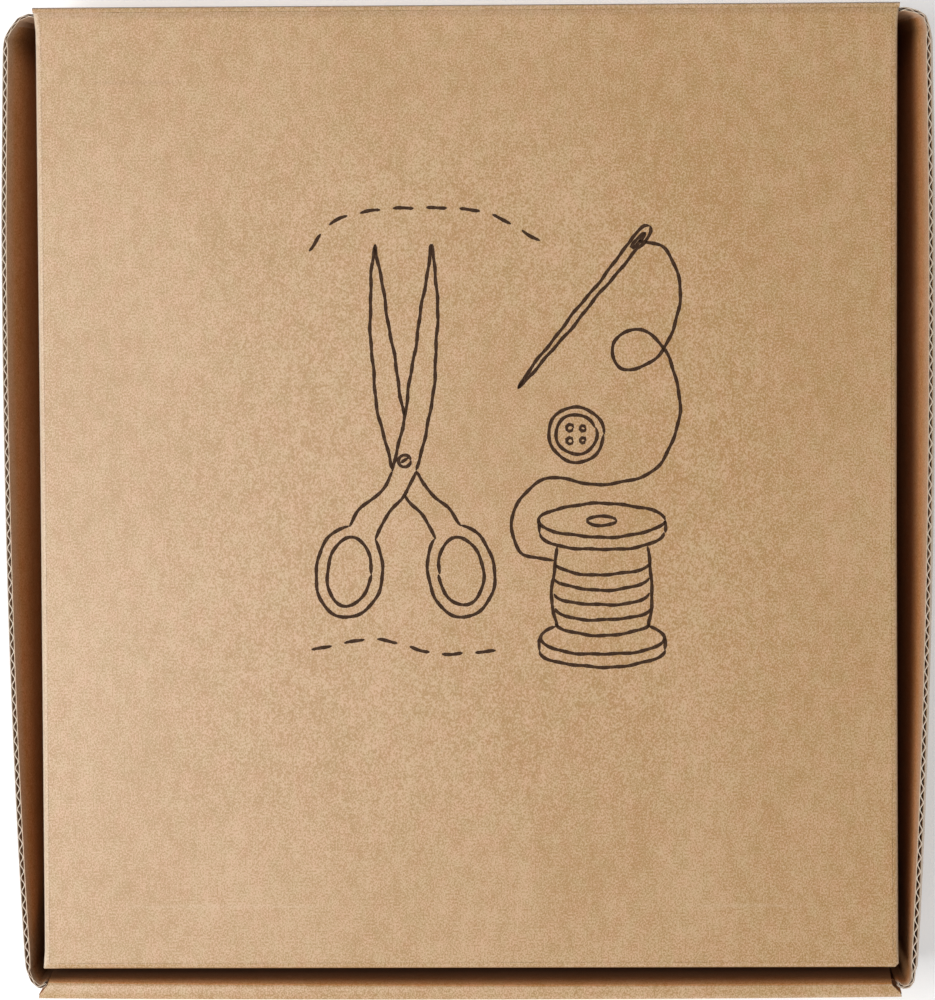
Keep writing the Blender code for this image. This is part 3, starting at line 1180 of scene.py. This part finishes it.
        # The outer liner is thickened so that its grey cut edge shows as a band of painted shade.
        painted_shade_band = BENDS[self.side].painted_shade_band
        Board(place, length, run, crush, wear_and_painted_light, phase=0.6 * sign, coarse=3.0, painted_shade_band=painted_shade_band).layers(shells)
        start, end = low[:, 1].min() + 2.0, low[:, 1].max() - 2.0
        roots = line_between((sign * BOTTOM_HALF, start), (sign * BOTTOM_HALF, end), 24)
        fold_strip(shells, roots, roots + (sign * self.foot_fold, 0.0), 0.0, -STANDING, self.foot_rub)
        name = self.side.name.lower()
        piece = shells.piece(f"{name}_side_board", self.finishes.board)
        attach(piece, "tray")
        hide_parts(f"{name}_wall", f"{name}_front_corner_flap", f"{name}_rear_corner_flap")
        return piece


# How far the lid's middle stands up, and by how much slow waves change that
LID_CROWN = 0.28
LID_WAVES = 0.10


def lid_height(x: Array, y: Array) -> Array:
    """Height of the lid's mid surface: nearly flat, with a soft crown that fades out at its edges.

    Args:
        x: places across the box.
        y: places along it.

    Returns:
        Heights; the crown is a power of each direction's parabola, with slow waves of sine times cosine.
    """
    middle, reach = (ROOT_BACK + ROOT_FRONT) / 2, (ROOT_BACK - ROOT_FRONT) / 2
    across = np.clip(1 - (x / ROOT_HALF) ** 2, 0, 1)
    along = np.clip(1 - ((y - middle) / reach) ** 2, 0, 1)
    waves = LID_WAVES * np.sin(x / 31.0 + 0.8) * np.cos(y / 39.0 - 0.5)
    return LID_TOP - BOARD / 2 + (LID_CROWN + waves) * np.sqrt(across * along) * across * along


# How far each side edge of the lid lies out from straight, at places along y
EASE_PLACES = (LID_FRONT_Y, -109.5, -106.0, 0.0, 112.5, 115.0, HINGE_Y)
EASE = {
    Side.LEFT: (-0.20, -0.45, -0.50, -0.25, 0.20, 0.45, 0.95),
    Side.RIGHT: (-0.05, -0.10, -0.20, -0.25, 0.25, 0.40, 0.90),
}


def eased(grid: Array) -> Array:
    """Points of the lid, moved out or in with its side edges, which aren't quite straight.

    A point moves across the box by the edge's ease at its y, times its x over the lid's half width.

    Args:
        grid: the points.

    Returns:
        The moved points.
    """
    y = grid[..., 1]
    side = {side: np.interp(y, EASE_PLACES, EASE[side]) for side in Side}
    moved = grid.copy()
    ease = np.where(grid[..., 0] < 0, side[Side.LEFT], side[Side.RIGHT])
    moved[..., 0] += grid[..., 0] / LID_HALF * ease
    return moved


@dataclass
class Lid:
    """The lid panel with its rounded edges."""

    finishes: Finishes
    root_half: float = ROOT_HALF
    root_front: float = ROOT_FRONT
    root_back: float = ROOT_BACK
    flap_front: float = FLAP_FRONT
    flap_rear: float = FLAP_REAR
    tuck_half: float = TUCK_HALF
    corner_cut: dict[Side, float] = field(default_factory=lambda: {Side.LEFT: 0.15, Side.RIGHT: 0.9})
    # Paleness of each side fold's crown: rubbing, and painted highlight, strongest on the left.
    edge_rub_and_painted_highlight: dict[Side, float] = field(default_factory=lambda: {Side.LEFT: 1.4, Side.RIGHT: 0.35})
    marks: tuple[tuple[float, float, float, float], ...] = (
        (100.4, -91.0, -68.0, -0.12),
        (-96.6, -83.0, -40.0, 0.12),
        (-96.6, 53.0, 77.0, 0.12),
    )
    mark_reach: float = 0.45
    hinge_shade: float = 0.14
    shade_start: float = 115.4
    shade_run: float = 0.8
    tuck_wear: float = 0.1

    def wear_and_painted_light(self, stops: Array, grid: Array) -> Array:
        """Painted shade along the hinge, and faint straight marks, each a bell across its line.

        Args:
            stops: stops along the sheet.
            grid: its points.

        Returns:
            How marked each point is, darker below 0, with painted shade along the hinge.
        """
        x, y = grid[:, :, 0], grid[:, :, 1]
        # Painted shade: a darker band along the hinge.
        worn = -self.hinge_shade * fade(y, self.shade_start, self.shade_run)
        for place, start, end, strength in self.marks:
            worn += strength * bell(y - place, self.mark_reach) * ((x > start) & (x < end))
        return worn

    def build(self) -> bpy.types.Object:
        """Make the panel, its flutes across the box, and the stretches of its edge beside the flaps.

        Returns:
            The piece.
        """
        shells = Shells()
        length = self.root_back - self.root_front
        x = np.linspace(-self.root_half, self.root_half, 41)

        def place(stops: Array) -> tuple[Array, Array]:
            """Points on the lid; the normal is straight up but for the crown's slope.

            Args:
                stops: stops along the sheet.

            Returns:
                Points and normals, rows by columns by 3.
            """
            y = np.broadcast_to((self.root_back - stops)[:, None], (len(stops), len(x)))
            across = np.broadcast_to(x, y.shape)
            grid = eased(np.stack([across, y, lid_height(across, y)], axis=2))
            reach = 0.5
            slope_x = (lid_height(across + reach, y) - lid_height(across - reach, y)) / (2 * reach)
            slope_y = (lid_height(across, y + reach) - lid_height(across, y - reach)) / (2 * reach)
            return grid, unit(np.stack([-slope_x, -slope_y, np.ones(y.shape)], axis=2))

        lines = [mark[0] + self.mark_reach * step for mark in self.marks for step in (-2, -1, 0, 1, 2)]
        shade_end = self.shade_start + self.shade_run
        keys = self.root_back - np.array([shade_end, self.shade_start, *EASE_PLACES[1:-1], *lines])
        Board(place, length, keys, wear_and_painted_light=self.wear_and_painted_light, coarse=4.0).layers(shells)
        half = self.root_half
        for side in Side:
            sign, cut, worn = side.value, self.corner_cut[side], self.edge_rub_and_painted_highlight[side]
            rear = line_between((sign * half, self.root_back), (sign * half, self.flap_rear), 8)
            # The side folds' crowns are pale: rubbing, and painted highlight.
            fold_strip(shells, eased(rear), eased(rear + (sign * BOARD, 0.0)), LID_TOP, BOARD, worn)
            front = [(sign * half, self.flap_front), (sign * half, self.root_front)]
            front += [(sign * half, self.root_front), (sign * self.tuck_half, self.root_front)]
            outer = [(sign * LID_HALF, self.flap_front), (sign * LID_HALF, LID_FRONT_Y + cut)]
            outer += [(sign * (LID_HALF - cut), LID_FRONT_Y), (sign * self.tuck_half, LID_FRONT_Y)]
            fading = worn * np.array([1.0, 1.0, 0.4, 0.1])
            fold_strip(shells, eased(np.array(front)), eased(np.array(outer)), LID_TOP, BOARD, fading)
        piece = shells.piece("lid_board", self.finishes.board)
        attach(piece, "lid")
        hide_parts("lid_panel")
        return piece

    def hinge_fold(self) -> bpy.types.Object:
        """Make the fold between the back wall and the lid.

        Returns:
            The piece.
        """
        shells = Shells()
        roots = line_between((-LID_HALF, self.root_back), (LID_HALF, self.root_back), 40)
        outs = roots + (0.0, HINGE_Y - self.root_back)
        # The far side of the hinge fold takes the grey cut-edge paper: painted shade along the back.
        fold_strip(shells, eased(roots), eased(outs), LID_TOP, LID_TOP - FLAP_TOP, paint_far_shade=True)
        piece = shells.piece("hinge_fold", self.finishes.board)
        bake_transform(piece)
        return piece

    def side_fold(self, side: Side) -> bpy.types.Object:
        """Make the fold between the lid and a side flap.

        Args:
            side: which side the flap is on.

        Returns:
            The piece.
        """
        sign = side.value
        name = side.name.lower()
        shells = Shells()
        start, end = (sign * self.root_half, self.flap_front), (sign * self.root_half, self.flap_rear)
        roots = line_between(start, end, 48)
        outs = roots + (sign * BOARD, 0.0)
        # The crown is pale: rubbing, and painted highlight.
        fold_strip(shells, eased(roots), eased(outs), LID_TOP, LID_TOP - FLAP_TOP, self.edge_rub_and_painted_highlight[side])
        piece = shells.piece(f"{name}_flap_fold_strip", self.finishes.board)
        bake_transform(piece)
        return piece

    def tuck_fold(self) -> bpy.types.Object:
        """Make the fold between the lid and the tuck flap.

        Returns:
            The piece.
        """
        shells = Shells()
        roots = line_between((-self.tuck_half, self.root_front), (self.tuck_half, self.root_front), 44)
        outs = roots + (0.0, -BOARD)
        fold_strip(shells, eased(roots), eased(outs), LID_TOP, LID_TOP - FLAP_TOP, self.tuck_wear)
        piece = shells.piece("tuck_fold_strip", self.finishes.board)
        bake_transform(piece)
        return piece


def curve_through(points: Sequence[Sequence[float]]) -> Array:
    """Smooth line through points: cubics whose slope at a point is half the run between its neighbours.

    Args:
        points: the points, in order.

    Returns:
        Points on the line, twelve for each stretch.
    """
    line = np.asarray(points, float)
    line = np.concatenate([2 * line[:1] - line[1:2], line, 2 * line[-1:] - line[-2:-1]])
    share = np.linspace(0.0, 1.0, 12, endpoint=False)[None, :, None]
    here, there = line[1:-2, None], line[2:-1, None]
    leave, arrive = (there - line[:-3, None]) / 2, (line[3:, None] - here) / 2
    curve = (2 * share**3 - 3 * share**2 + 1) * here + (share**3 - 2 * share**2 + share) * leave
    curve = curve + (3 * share**2 - 2 * share**3) * there + (share**3 - share**2) * arrive
    return np.concatenate([curve.reshape(-1, 2), line[-2:-1]])


def oval(centre: Sequence[float], radii: Sequence[float], start: float = 0.0, end: float = 360.0) -> Array:
    """Arc of an ellipse between two angles in degrees."""
    angles = np.radians(np.linspace(start, end, 49))[:, None]
    return np.asarray(centre) + np.hstack([radii[0] * np.cos(angles), radii[1] * np.sin(angles)])


def turned(points: Array, degrees: float, centre: Sequence[float] = (0.0, 0.0)) -> Array:
    """Points turned about the origin and then moved to a centre.

    Args:
        points: the points.
        degrees: how far they turn.
        centre: where the origin goes.

    Returns:
        The moved points.
    """
    angle = math.radians(degrees)
    spin = np.array([[math.cos(angle), math.sin(angle)], [-math.sin(angle), math.cos(angle)]])
    return points @ spin + np.asarray(centre)


def resampled(points: Array, spacing: float) -> Array:
    """The same line with points at an even spacing."""
    run = run_of(points)
    return at_stops(steps(0.0, float(run[-1]), spacing), run, points)


def seen_outside(strokes: Sequence[Array], outline: Array) -> list[Array]:
    """Parts of strokes outside a closed outline.

    A point is outside where a ray to the right of it crosses the outline an even number of times.

    Args:
        strokes: lines of points.
        outline: corners of the outline.

    Returns:
        The parts, each a line of points.
    """
    start, end = outline, np.roll(outline, -1, axis=0)
    rise = np.where(end[:, 1] == start[:, 1], 1.0, end[:, 1] - start[:, 1])
    kept = []
    for stroke in strokes:
        stroke = resampled(stroke, 0.3)
        x, y = stroke[:, :1], stroke[:, 1:]
        spans = (start[:, 1] > y) != (end[:, 1] > y)
        crossing = start[:, 0] + (y - start[:, 1]) * (end[:, 0] - start[:, 0]) / rise
        outside = (spans & (x < crossing)).sum(axis=1) % 2 == 0
        cuts = np.flatnonzero(np.diff(outside)) + 1
        parts = zip(np.split(stroke, cuts), np.split(outside, cuts))
        kept += [part for part, shown in parts if shown[0] and len(part) > 3]
    return kept


@dataclass
class LinePrint:
    """Sewing things drawn by hand on the lid: scissors, a spool, a needle with its thread, a button.

    A stroke is a thin ribbon of ink along a line, as closed as every other shell. Its width and its
    line waver by sines of the run, and its ends taper. Each of sways is a sine's rate along the run,
    its shift from stroke to stroke and its strength.
    """

    finishes: Finishes
    width: float = 0.82
    wobble: float = 0.13
    shake: float = 0.13
    spacing: float = 0.7
    taper: float = 0.8
    proud: float = 0.04
    sunk: float = 0.03
    sways: tuple[tuple[float, float, float], ...] = ((0.37, 1.9, 1.0), (0.93, 0.7, 0.6))
    swell_rate: float = 1.7
    ripple: float = 0.05
    ripple_rate: float = 4.1
    thin_end: float = 0.35
    scissors_place: tuple[float, float] = (-15.0, 10.0)
    scissors_open: float = 7.0
    spool_place: tuple[float, float] = (32.0, -4.5)
    spool_drop: float = 28.0
    button_place: tuple[float, float] = (26.0, 16.0)
    needle_point: tuple[float, float] = (12.0, 27.0)
    needle_turn: float = 50.6
    needle_length: float = 50.0

    def scissors(self) -> list[Array]:
        """Two halves that cross at a screw, the front one hiding what lies behind it.

        Returns:
            The strokes, each a line of points.
        """
        spine = curve_through([(3.0, -2.0), (4.8, 12.0), (4.4, 28.0), (2.8, 42.0), (0.4, 52.0)])
        cutting = curve_through([(0.4, 52.0), (-0.5, 30.0), (-1.4, 8.0), (-2.6, -3.0)])
        inner_shank = curve_through([(-2.6, -3.0), (-5.0, -8.5), (-9.0, -12.5), (-11.4, -17.2)])
        outer_shank = curve_through([(-4.9, -19.6), (-2.8, -14.0), (0.8, -8.5), (3.0, -2.0)])
        ring, hole = oval((-10.0, -28.0), (8.0, 11.0), 100.0, 410.0), oval((-10.0, -28.0), (5.3, 8.2))
        half = [spine, cutting, inner_shank, ring, outer_shank, hole]
        front = [turned(part, -self.scissors_open, self.scissors_place) for part in half]
        back = [turned(part * (-1, 1), self.scissors_open, self.scissors_place) for part in half]
        screw = oval(self.scissors_place, (1.5, 1.5))
        slot = np.array([(-0.9, -0.6), (0.9, 0.6)]) + self.scissors_place
        return front + seen_outside(back, np.concatenate(front[:5])) + [screw, slot]

    def spool(self) -> list[Array]:
        """Two round flanges with thread wound between them.

        Returns:
            The strokes, each a line of points.
        """
        x, y = self.spool_place
        low = y - self.spool_drop
        flange, rim = (15.0, 4.0), 3.0
        strokes = [oval((x, y), flange), oval((x, y), (3.6, 1.1)), oval((x, y - rim), flange, 180.0)]
        strokes += [oval((x, low - rim), flange, 180.0), oval((x, low), flange, 138.0, 402.0)]
        for side in (-1, 1):
            edge, wound, bulge = (x + side * half for half in (flange[0], 10.8, 12.0))
            strokes += [np.array([(edge, level), (edge, level - rim)]) for level in (y, low)]
            strokes.append(curve_through([(wound, low + 2.6), (bulge, y - 18.0), (wound, y - 6.2)]))
        strokes += [oval((x, low + 3.6 * turn), (11.4, 3.0), 184.0, 356.0) for turn in range(1, 6)]
        return strokes

    def needle(self) -> list[Array]:
        """A tapered needle with a long eye.

        Returns:
            The strokes, each a line of points.
        """
        along = np.array([0.0, 12.0, 40.0, 45.5, 49.0, self.needle_length])
        half = np.array([0.0, 0.75, 1.05, 1.55, 1.15, 0.0])
        eye = oval((45.6, 0.0), (2.5, 0.5))
        parts = [curve_through(np.stack([along, side * half], axis=1)) for side in (-1, 1)] + [eye]
        return [turned(part, self.needle_turn, self.needle_point) for part in parts]

    def thread(self) -> list[Array]:
        """The thread, in loose loops from the needle's eye to the spool.

        Returns:
            The strokes, each a line of points.
        """
        loop = [(41.0, 62.0), (47.5, 60.0), (51.0, 48.0), (45.5, 34.5), (37.0, 31.5), (35.0, 38.0)]
        fall = [(41.5, 41.0), (48.5, 33.5), (50.5, 20.0), (45.0, 8.0), (33.0, 4.0), (19.0, 5.5)]
        return [curve_through([*loop, *fall, (11.0, -2.0), (12.5, -12.0), (20.6, -14.0)])]

    def button(self) -> list[Array]:
        """A round button with a rim and four holes.

        Returns:
            The strokes, each a line of points.
        """
        x, y = self.button_place
        holes = [oval((x + across, y + up), (0.75, 0.75)) for across in (-1.5, 1.5) for up in (-1.5, 1.5)]
        return [oval((x, y), (6.6, 6.6)), oval((x, y), (4.8, 4.8), 20.0, 380.0), *holes]

    def stitches(self) -> list[Array]:
        """Running stitches, one row under the scissors and one over them.

        Returns:
            The strokes, each a line of points.
        """
        rows = [
            curve_through([(-37.5, -35.0), (-22.0, -32.8), (-6.0, -36.2), (13.0, -35.0)]),
            curve_through([(-37.5, 60.0), (-31.0, 67.5), (-14.0, 70.2), (4.0, 69.0), (18.0, 62.0)]),
        ]
        dashes = []
        for row in rows:
            points = resampled(row, 0.5)
            dash, stride = 11, 16
            dashes += [points[start : start + dash] for start in range(0, len(points) - dash, stride)]
        return dashes

    def ribbon(self, shells: Shells, stroke: Array, number: int) -> None:
        """Add one stroke's ribbon of ink.

        Args:
            shells: the piece's shells.
            stroke: points on its line.
            number: its place in the drawing, which shifts its wavering.
        """
        line = resampled(stroke, self.spacing)
        run = np.linspace(0.0, 1.0, len(line)) * self.spacing * (len(line) - 1)
        ahead = unit(np.gradient(line, axis=0))
        side = np.stack([ahead[:, 1], -ahead[:, 0]], axis=1)
        waver = sum(strength * np.sin(rate * run + shift * number) for rate, shift, strength in self.sways)
        line = line + side * (self.shake * waver)[:, None]
        swell = self.wobble * np.sin(self.swell_rate * run + number)
        half = self.width / 2 * (1 + swell + self.ripple * np.sin(self.ripple_rate * run))
        ends = np.minimum(run, run[-1] - run) / self.taper
        half = half * np.clip(self.thin_end + (1 - self.thin_end) * ends, self.thin_end, 1.0)
        edges = np.stack([line + side * half[:, None], line - side * half[:, None]], axis=1)
        face = lid_height(edges[:, :, 0], edges[:, :, 1])[:, :, None] + BOARD / 2
        upper = np.concatenate([edges, face + self.proud], axis=2)
        lower = np.concatenate([edges, face - self.sunk], axis=2)
        shells.add(upper, lower, Paper.OUTSIDE, rim=Paper.OUTSIDE)

    def build(self) -> bpy.types.Object:
        """Make the whole drawing as one piece on the lid.

        Returns:
            The piece.
        """
        shells = Shells()
        strokes = self.scissors() + self.spool() + self.needle() + self.thread()
        strokes += self.button() + self.stitches()
        for number, stroke in enumerate(strokes):
            self.ribbon(shells, stroke, number)
        piece = shells.piece("line_print", self.finishes.print)
        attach(piece, "lid")
        return piece


@dataclass(frozen=True)
class FlapOutline:
    """How deep a flap is at each place along it, with rounded free corners.

    The outline falls from each end in a straight line, then along an arc that touches that line and
    the free edge, to the full depth.
    """

    start: float
    end: float
    start_run: float
    end_run: float
    depth: float = 38.0
    radius: float = 5.0

    def points(self) -> Array:
        """Outline from start to end, as place and depth.

        Returns:
            Points on the outline.
        """
        line = [(self.start, 0.0)]
        for sign, end, run in ((1, self.start, self.start_run), (-1, self.end, self.end_run)):
            lean = math.atan2(self.depth, run)
            reach = self.radius * math.tan(lean / 2)
            centre = np.array([end + sign * (run + reach), self.depth - self.radius])
            angles = np.linspace(0.0, lean, 9)
            if sign > 0:
                angles = angles[::-1]
            arc = centre + self.radius * np.stack([-sign * np.sin(angles), np.cos(angles)], axis=1)
            line += [tuple(point) for point in arc]
        line.append((self.end, 0.0))
        return np.array(line)


@dataclass
class SideFlap:
    """A side flap of the lid, tucked in beside the wall, its flutes up and down."""

    finishes: Finishes
    side: Side
    fold_x: float = ROOT_HALF
    lean: float = math.radians(2.0)
    outline: FlapOutline = FlapOutline(FLAP_FRONT, FLAP_REAR, 38.0, 8.0)
    least_depth: float = 0.15
    crease_crush: float = 0.4
    crease_reach: float = 4.0

    def build(self) -> bpy.types.Object:
        """Make the flap: each flute hangs from the fold down to the outline.

        Returns:
            The piece.
        """
        sign = self.side.value
        name = self.side.name.lower()
        outline = self.outline.points()
        length = self.outline.end - self.outline.start
        down = np.array([-math.sin(self.lean) * sign, 0.0, -math.cos(self.lean)])
        out = np.array([math.cos(self.lean) * sign, 0.0, -math.sin(self.lean)])
        share = np.linspace(0.0, 1.0, 7)

        def place(stops: Array) -> tuple[Array, Array]:
            """Points down from the fold line, to the depth that the outline has there.

            The normals are shorter near the fold, by a bell over the depth, so the board is thinner.

            Args:
                stops: stops along the sheet.

            Returns:
                Points and normals, rows by columns by 3.
            """
            y = self.outline.start + stops
            depth = np.maximum(np.interp(y, outline[:, 0], outline[:, 1]), self.least_depth)
            depth = depth[:, None] * share
            grid = np.zeros((*depth.shape, 3))
            grid[:, :, 1] = y[:, None]
            grid += (sign * self.fold_x, 0.0, FLAP_TOP) + out * BOARD / 2
            grid += depth[:, :, None] * down
            pressed = 1 - self.crease_crush * bell(depth, self.crease_reach)
            return eased(grid), pressed[:, :, None] * out

        shells = Shells()
        Board(place, length, outline[:, 0] - self.outline.start, coarse=6.0).layers(shells)
        piece = shells.piece(f"{name}_flap_board", self.finishes.board)
        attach(piece, f"{name}_flap")
        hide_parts(f"lid_{name}_flap")
        return piece


@dataclass
class TuckFlap:
    """The lid's front flap, tucked in behind the front wall, its flutes across the box."""

    finishes: Finishes
    fold_y: float = ROOT_FRONT
    half: float = TUCK_HALF
    depth: float = 38.0
    lean: float = math.radians(6.0)

    def build(self) -> bpy.types.Object:
        """Make the flap: each flute runs between the two ends of the outline at its depth.

        Returns:
            The piece.
        """
        outline = FlapOutline(-self.half, self.half, self.depth, self.depth, self.depth).points()
        left = outline[: len(outline) // 2]
        down = np.array([0.0, math.sin(self.lean), -math.cos(self.lean)])
        out = np.array([0.0, -math.cos(self.lean), -math.sin(self.lean)])
        share = np.linspace(-1.0, 1.0, 25)

        def place(stops: Array) -> tuple[Array, Array]:
            """Points across the flap at each depth.

            Args:
                stops: depths below the fold.

            Returns:
                Points and normals, rows by columns by 3.
            """
            half = -np.interp(stops, left[:, 1], left[:, 0])
            grid = stops[:, None, None] * down + (0.0, self.fold_y, FLAP_TOP) + out * BOARD / 2
            grid = np.repeat(grid, len(share), axis=1)
            grid[:, :, 0] = half[:, None] * share
            return grid, np.broadcast_to(out, grid.shape)

        shells = Shells()
        Board(place, self.depth, left[:, 1], coarse=4.0).layers(shells)
        piece = shells.piece("tuck_flap_board", self.finishes.board)
        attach(piece, "tuck_flap")
        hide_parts("lid_tuck_flap")
        return piece


@dataclass(frozen=True)
class Softbox:
    """A square soft light aimed at the lid's middle; its place and size in millimetres."""

    name: str
    place: tuple[float, float, float]
    size: float
    watts: float

    def build(self) -> None:
        """Make the light."""
        lamp = bpy.data.lights.new(self.name, "AREA")
        lamp.shape = "SQUARE"
        lamp.size = self.size * MM
        lamp.energy = self.watts
        lit = bpy.data.objects.new(self.name, lamp)
        lit.location = Vector(self.place) * MM
        aim = Vector((0.0, 0.0, LID_TOP)) - Vector(self.place)
        lit.rotation_euler = aim.to_track_quat("-Z", "Y").to_euler()
        bpy.context.scene.collection.objects.link(lit)


@dataclass
class Studio:
    """Plain pale floor, soft light and the camera, whose frame is 935 by 1000."""

    camera_place: tuple[float, float, float] = (34.1, 29.9, 1302.0)
    camera_turn: tuple[float, float, float] = (-1.355, 1.557, -0.286)
    lens: float = 188.74
    sensor: float = 36.0
    softboxes: tuple[Softbox, ...] = (
        Softbox("key_light", (-430.0, -80.0, 1035.0), 460.0, 7.0),
        Softbox("front_light", (0.0, -1150.0, 680.0), 1300.0, 6.8),
        Softbox("back_light", (0.0, 900.0, 900.0), 700.0, 3.5),
    )
    sky: float = 0.05
    floor_glow: float = 0.35
    floor_half: float = 3.0
    floor_drop: float = 0.0001

    def build(self) -> None:
        """Make the floor, the lights, the world and the camera."""
        self.floor()
        for softbox in self.softboxes:
            softbox.build()
        world = bpy.data.worlds.new("studio_world")
        bpy.context.scene.world = world
        world.use_nodes = True
        background = world.node_tree.nodes["Background"]
        background.inputs["Color"].default_value = (1.0, 0.99, 0.98, 1.0)
        background.inputs["Strength"].default_value = self.sky
        view = bpy.context.scene.view_settings
        view.view_transform = "Standard"
        view.look = "None"
        view.exposure = 0.0
        self.camera()

    def floor(self) -> None:
        """A pale sheet that the box lies on."""
        material = bpy.data.materials.new("pale_floor")
        material.use_nodes = True
        shader = material.node_tree.nodes["Principled BSDF"]
        shader.inputs["Base Color"].default_value = (0.93, 0.93, 0.93, 1.0)
        shader.inputs["Emission Color"].default_value = (1.0, 1.0, 1.0, 1.0)
        shader.inputs["Emission Strength"].default_value = self.floor_glow
        shader.inputs["Roughness"].default_value = 0.9
        shader.inputs["Specular IOR Level"].default_value = 0.1
        mesh = bpy.data.meshes.new("floor")
        half, low = self.floor_half, -self.floor_drop
        corners = [(-half, -half, low), (half, -half, low), (half, half, low), (-half, half, low)]
        mesh.from_pydata(corners, [], [(0, 1, 2, 3)])
        mesh.materials.append(material)
        floor = bpy.data.objects.new("floor", mesh)
        bpy.context.scene.collection.objects.link(floor)

    def camera(self) -> None:
        """The camera, nearly overhead."""
        data = bpy.data.cameras.new("photo_camera")
        data.sensor_fit = "AUTO"
        data.sensor_width = self.sensor
        data.lens = self.lens
        data.clip_start = 0.05
        data.clip_end = 50.0
        camera = bpy.data.objects.new("photo_camera", data)
        camera.location = Vector(self.camera_place) * MM
        camera.rotation_euler = Euler([math.radians(turn) for turn in self.camera_turn])
        bpy.context.scene.collection.objects.link(camera)
        bpy.context.scene.camera = camera


def report(piece: bpy.types.Object) -> None:
    """Log a piece's name and how many faces it has."""
    log.info("%s: %d faces", piece.name, len(piece.data.polygons))


def main() -> None:
    """Build the studio, then the box from its tray to its print."""
    logging.basicConfig(level=logging.INFO, format="%(name)s %(message)s")
    Studio().build()
    finishes = Finishes()
    report(TrayStrip(finishes).build())
    for side in Side:
        report(SideBoard(finishes, side).build())
    lid = Lid(finishes)
    report(lid.build())
    report(LinePrint(finishes).build())
    report(lid.hinge_fold())
    for side in Side:
        report(lid.side_fold(side))
        report(SideFlap(finishes, side).build())
    report(lid.tuck_fold())
    report(TuckFlap(finishes).build())


if __name__ == "__main__":
    main()
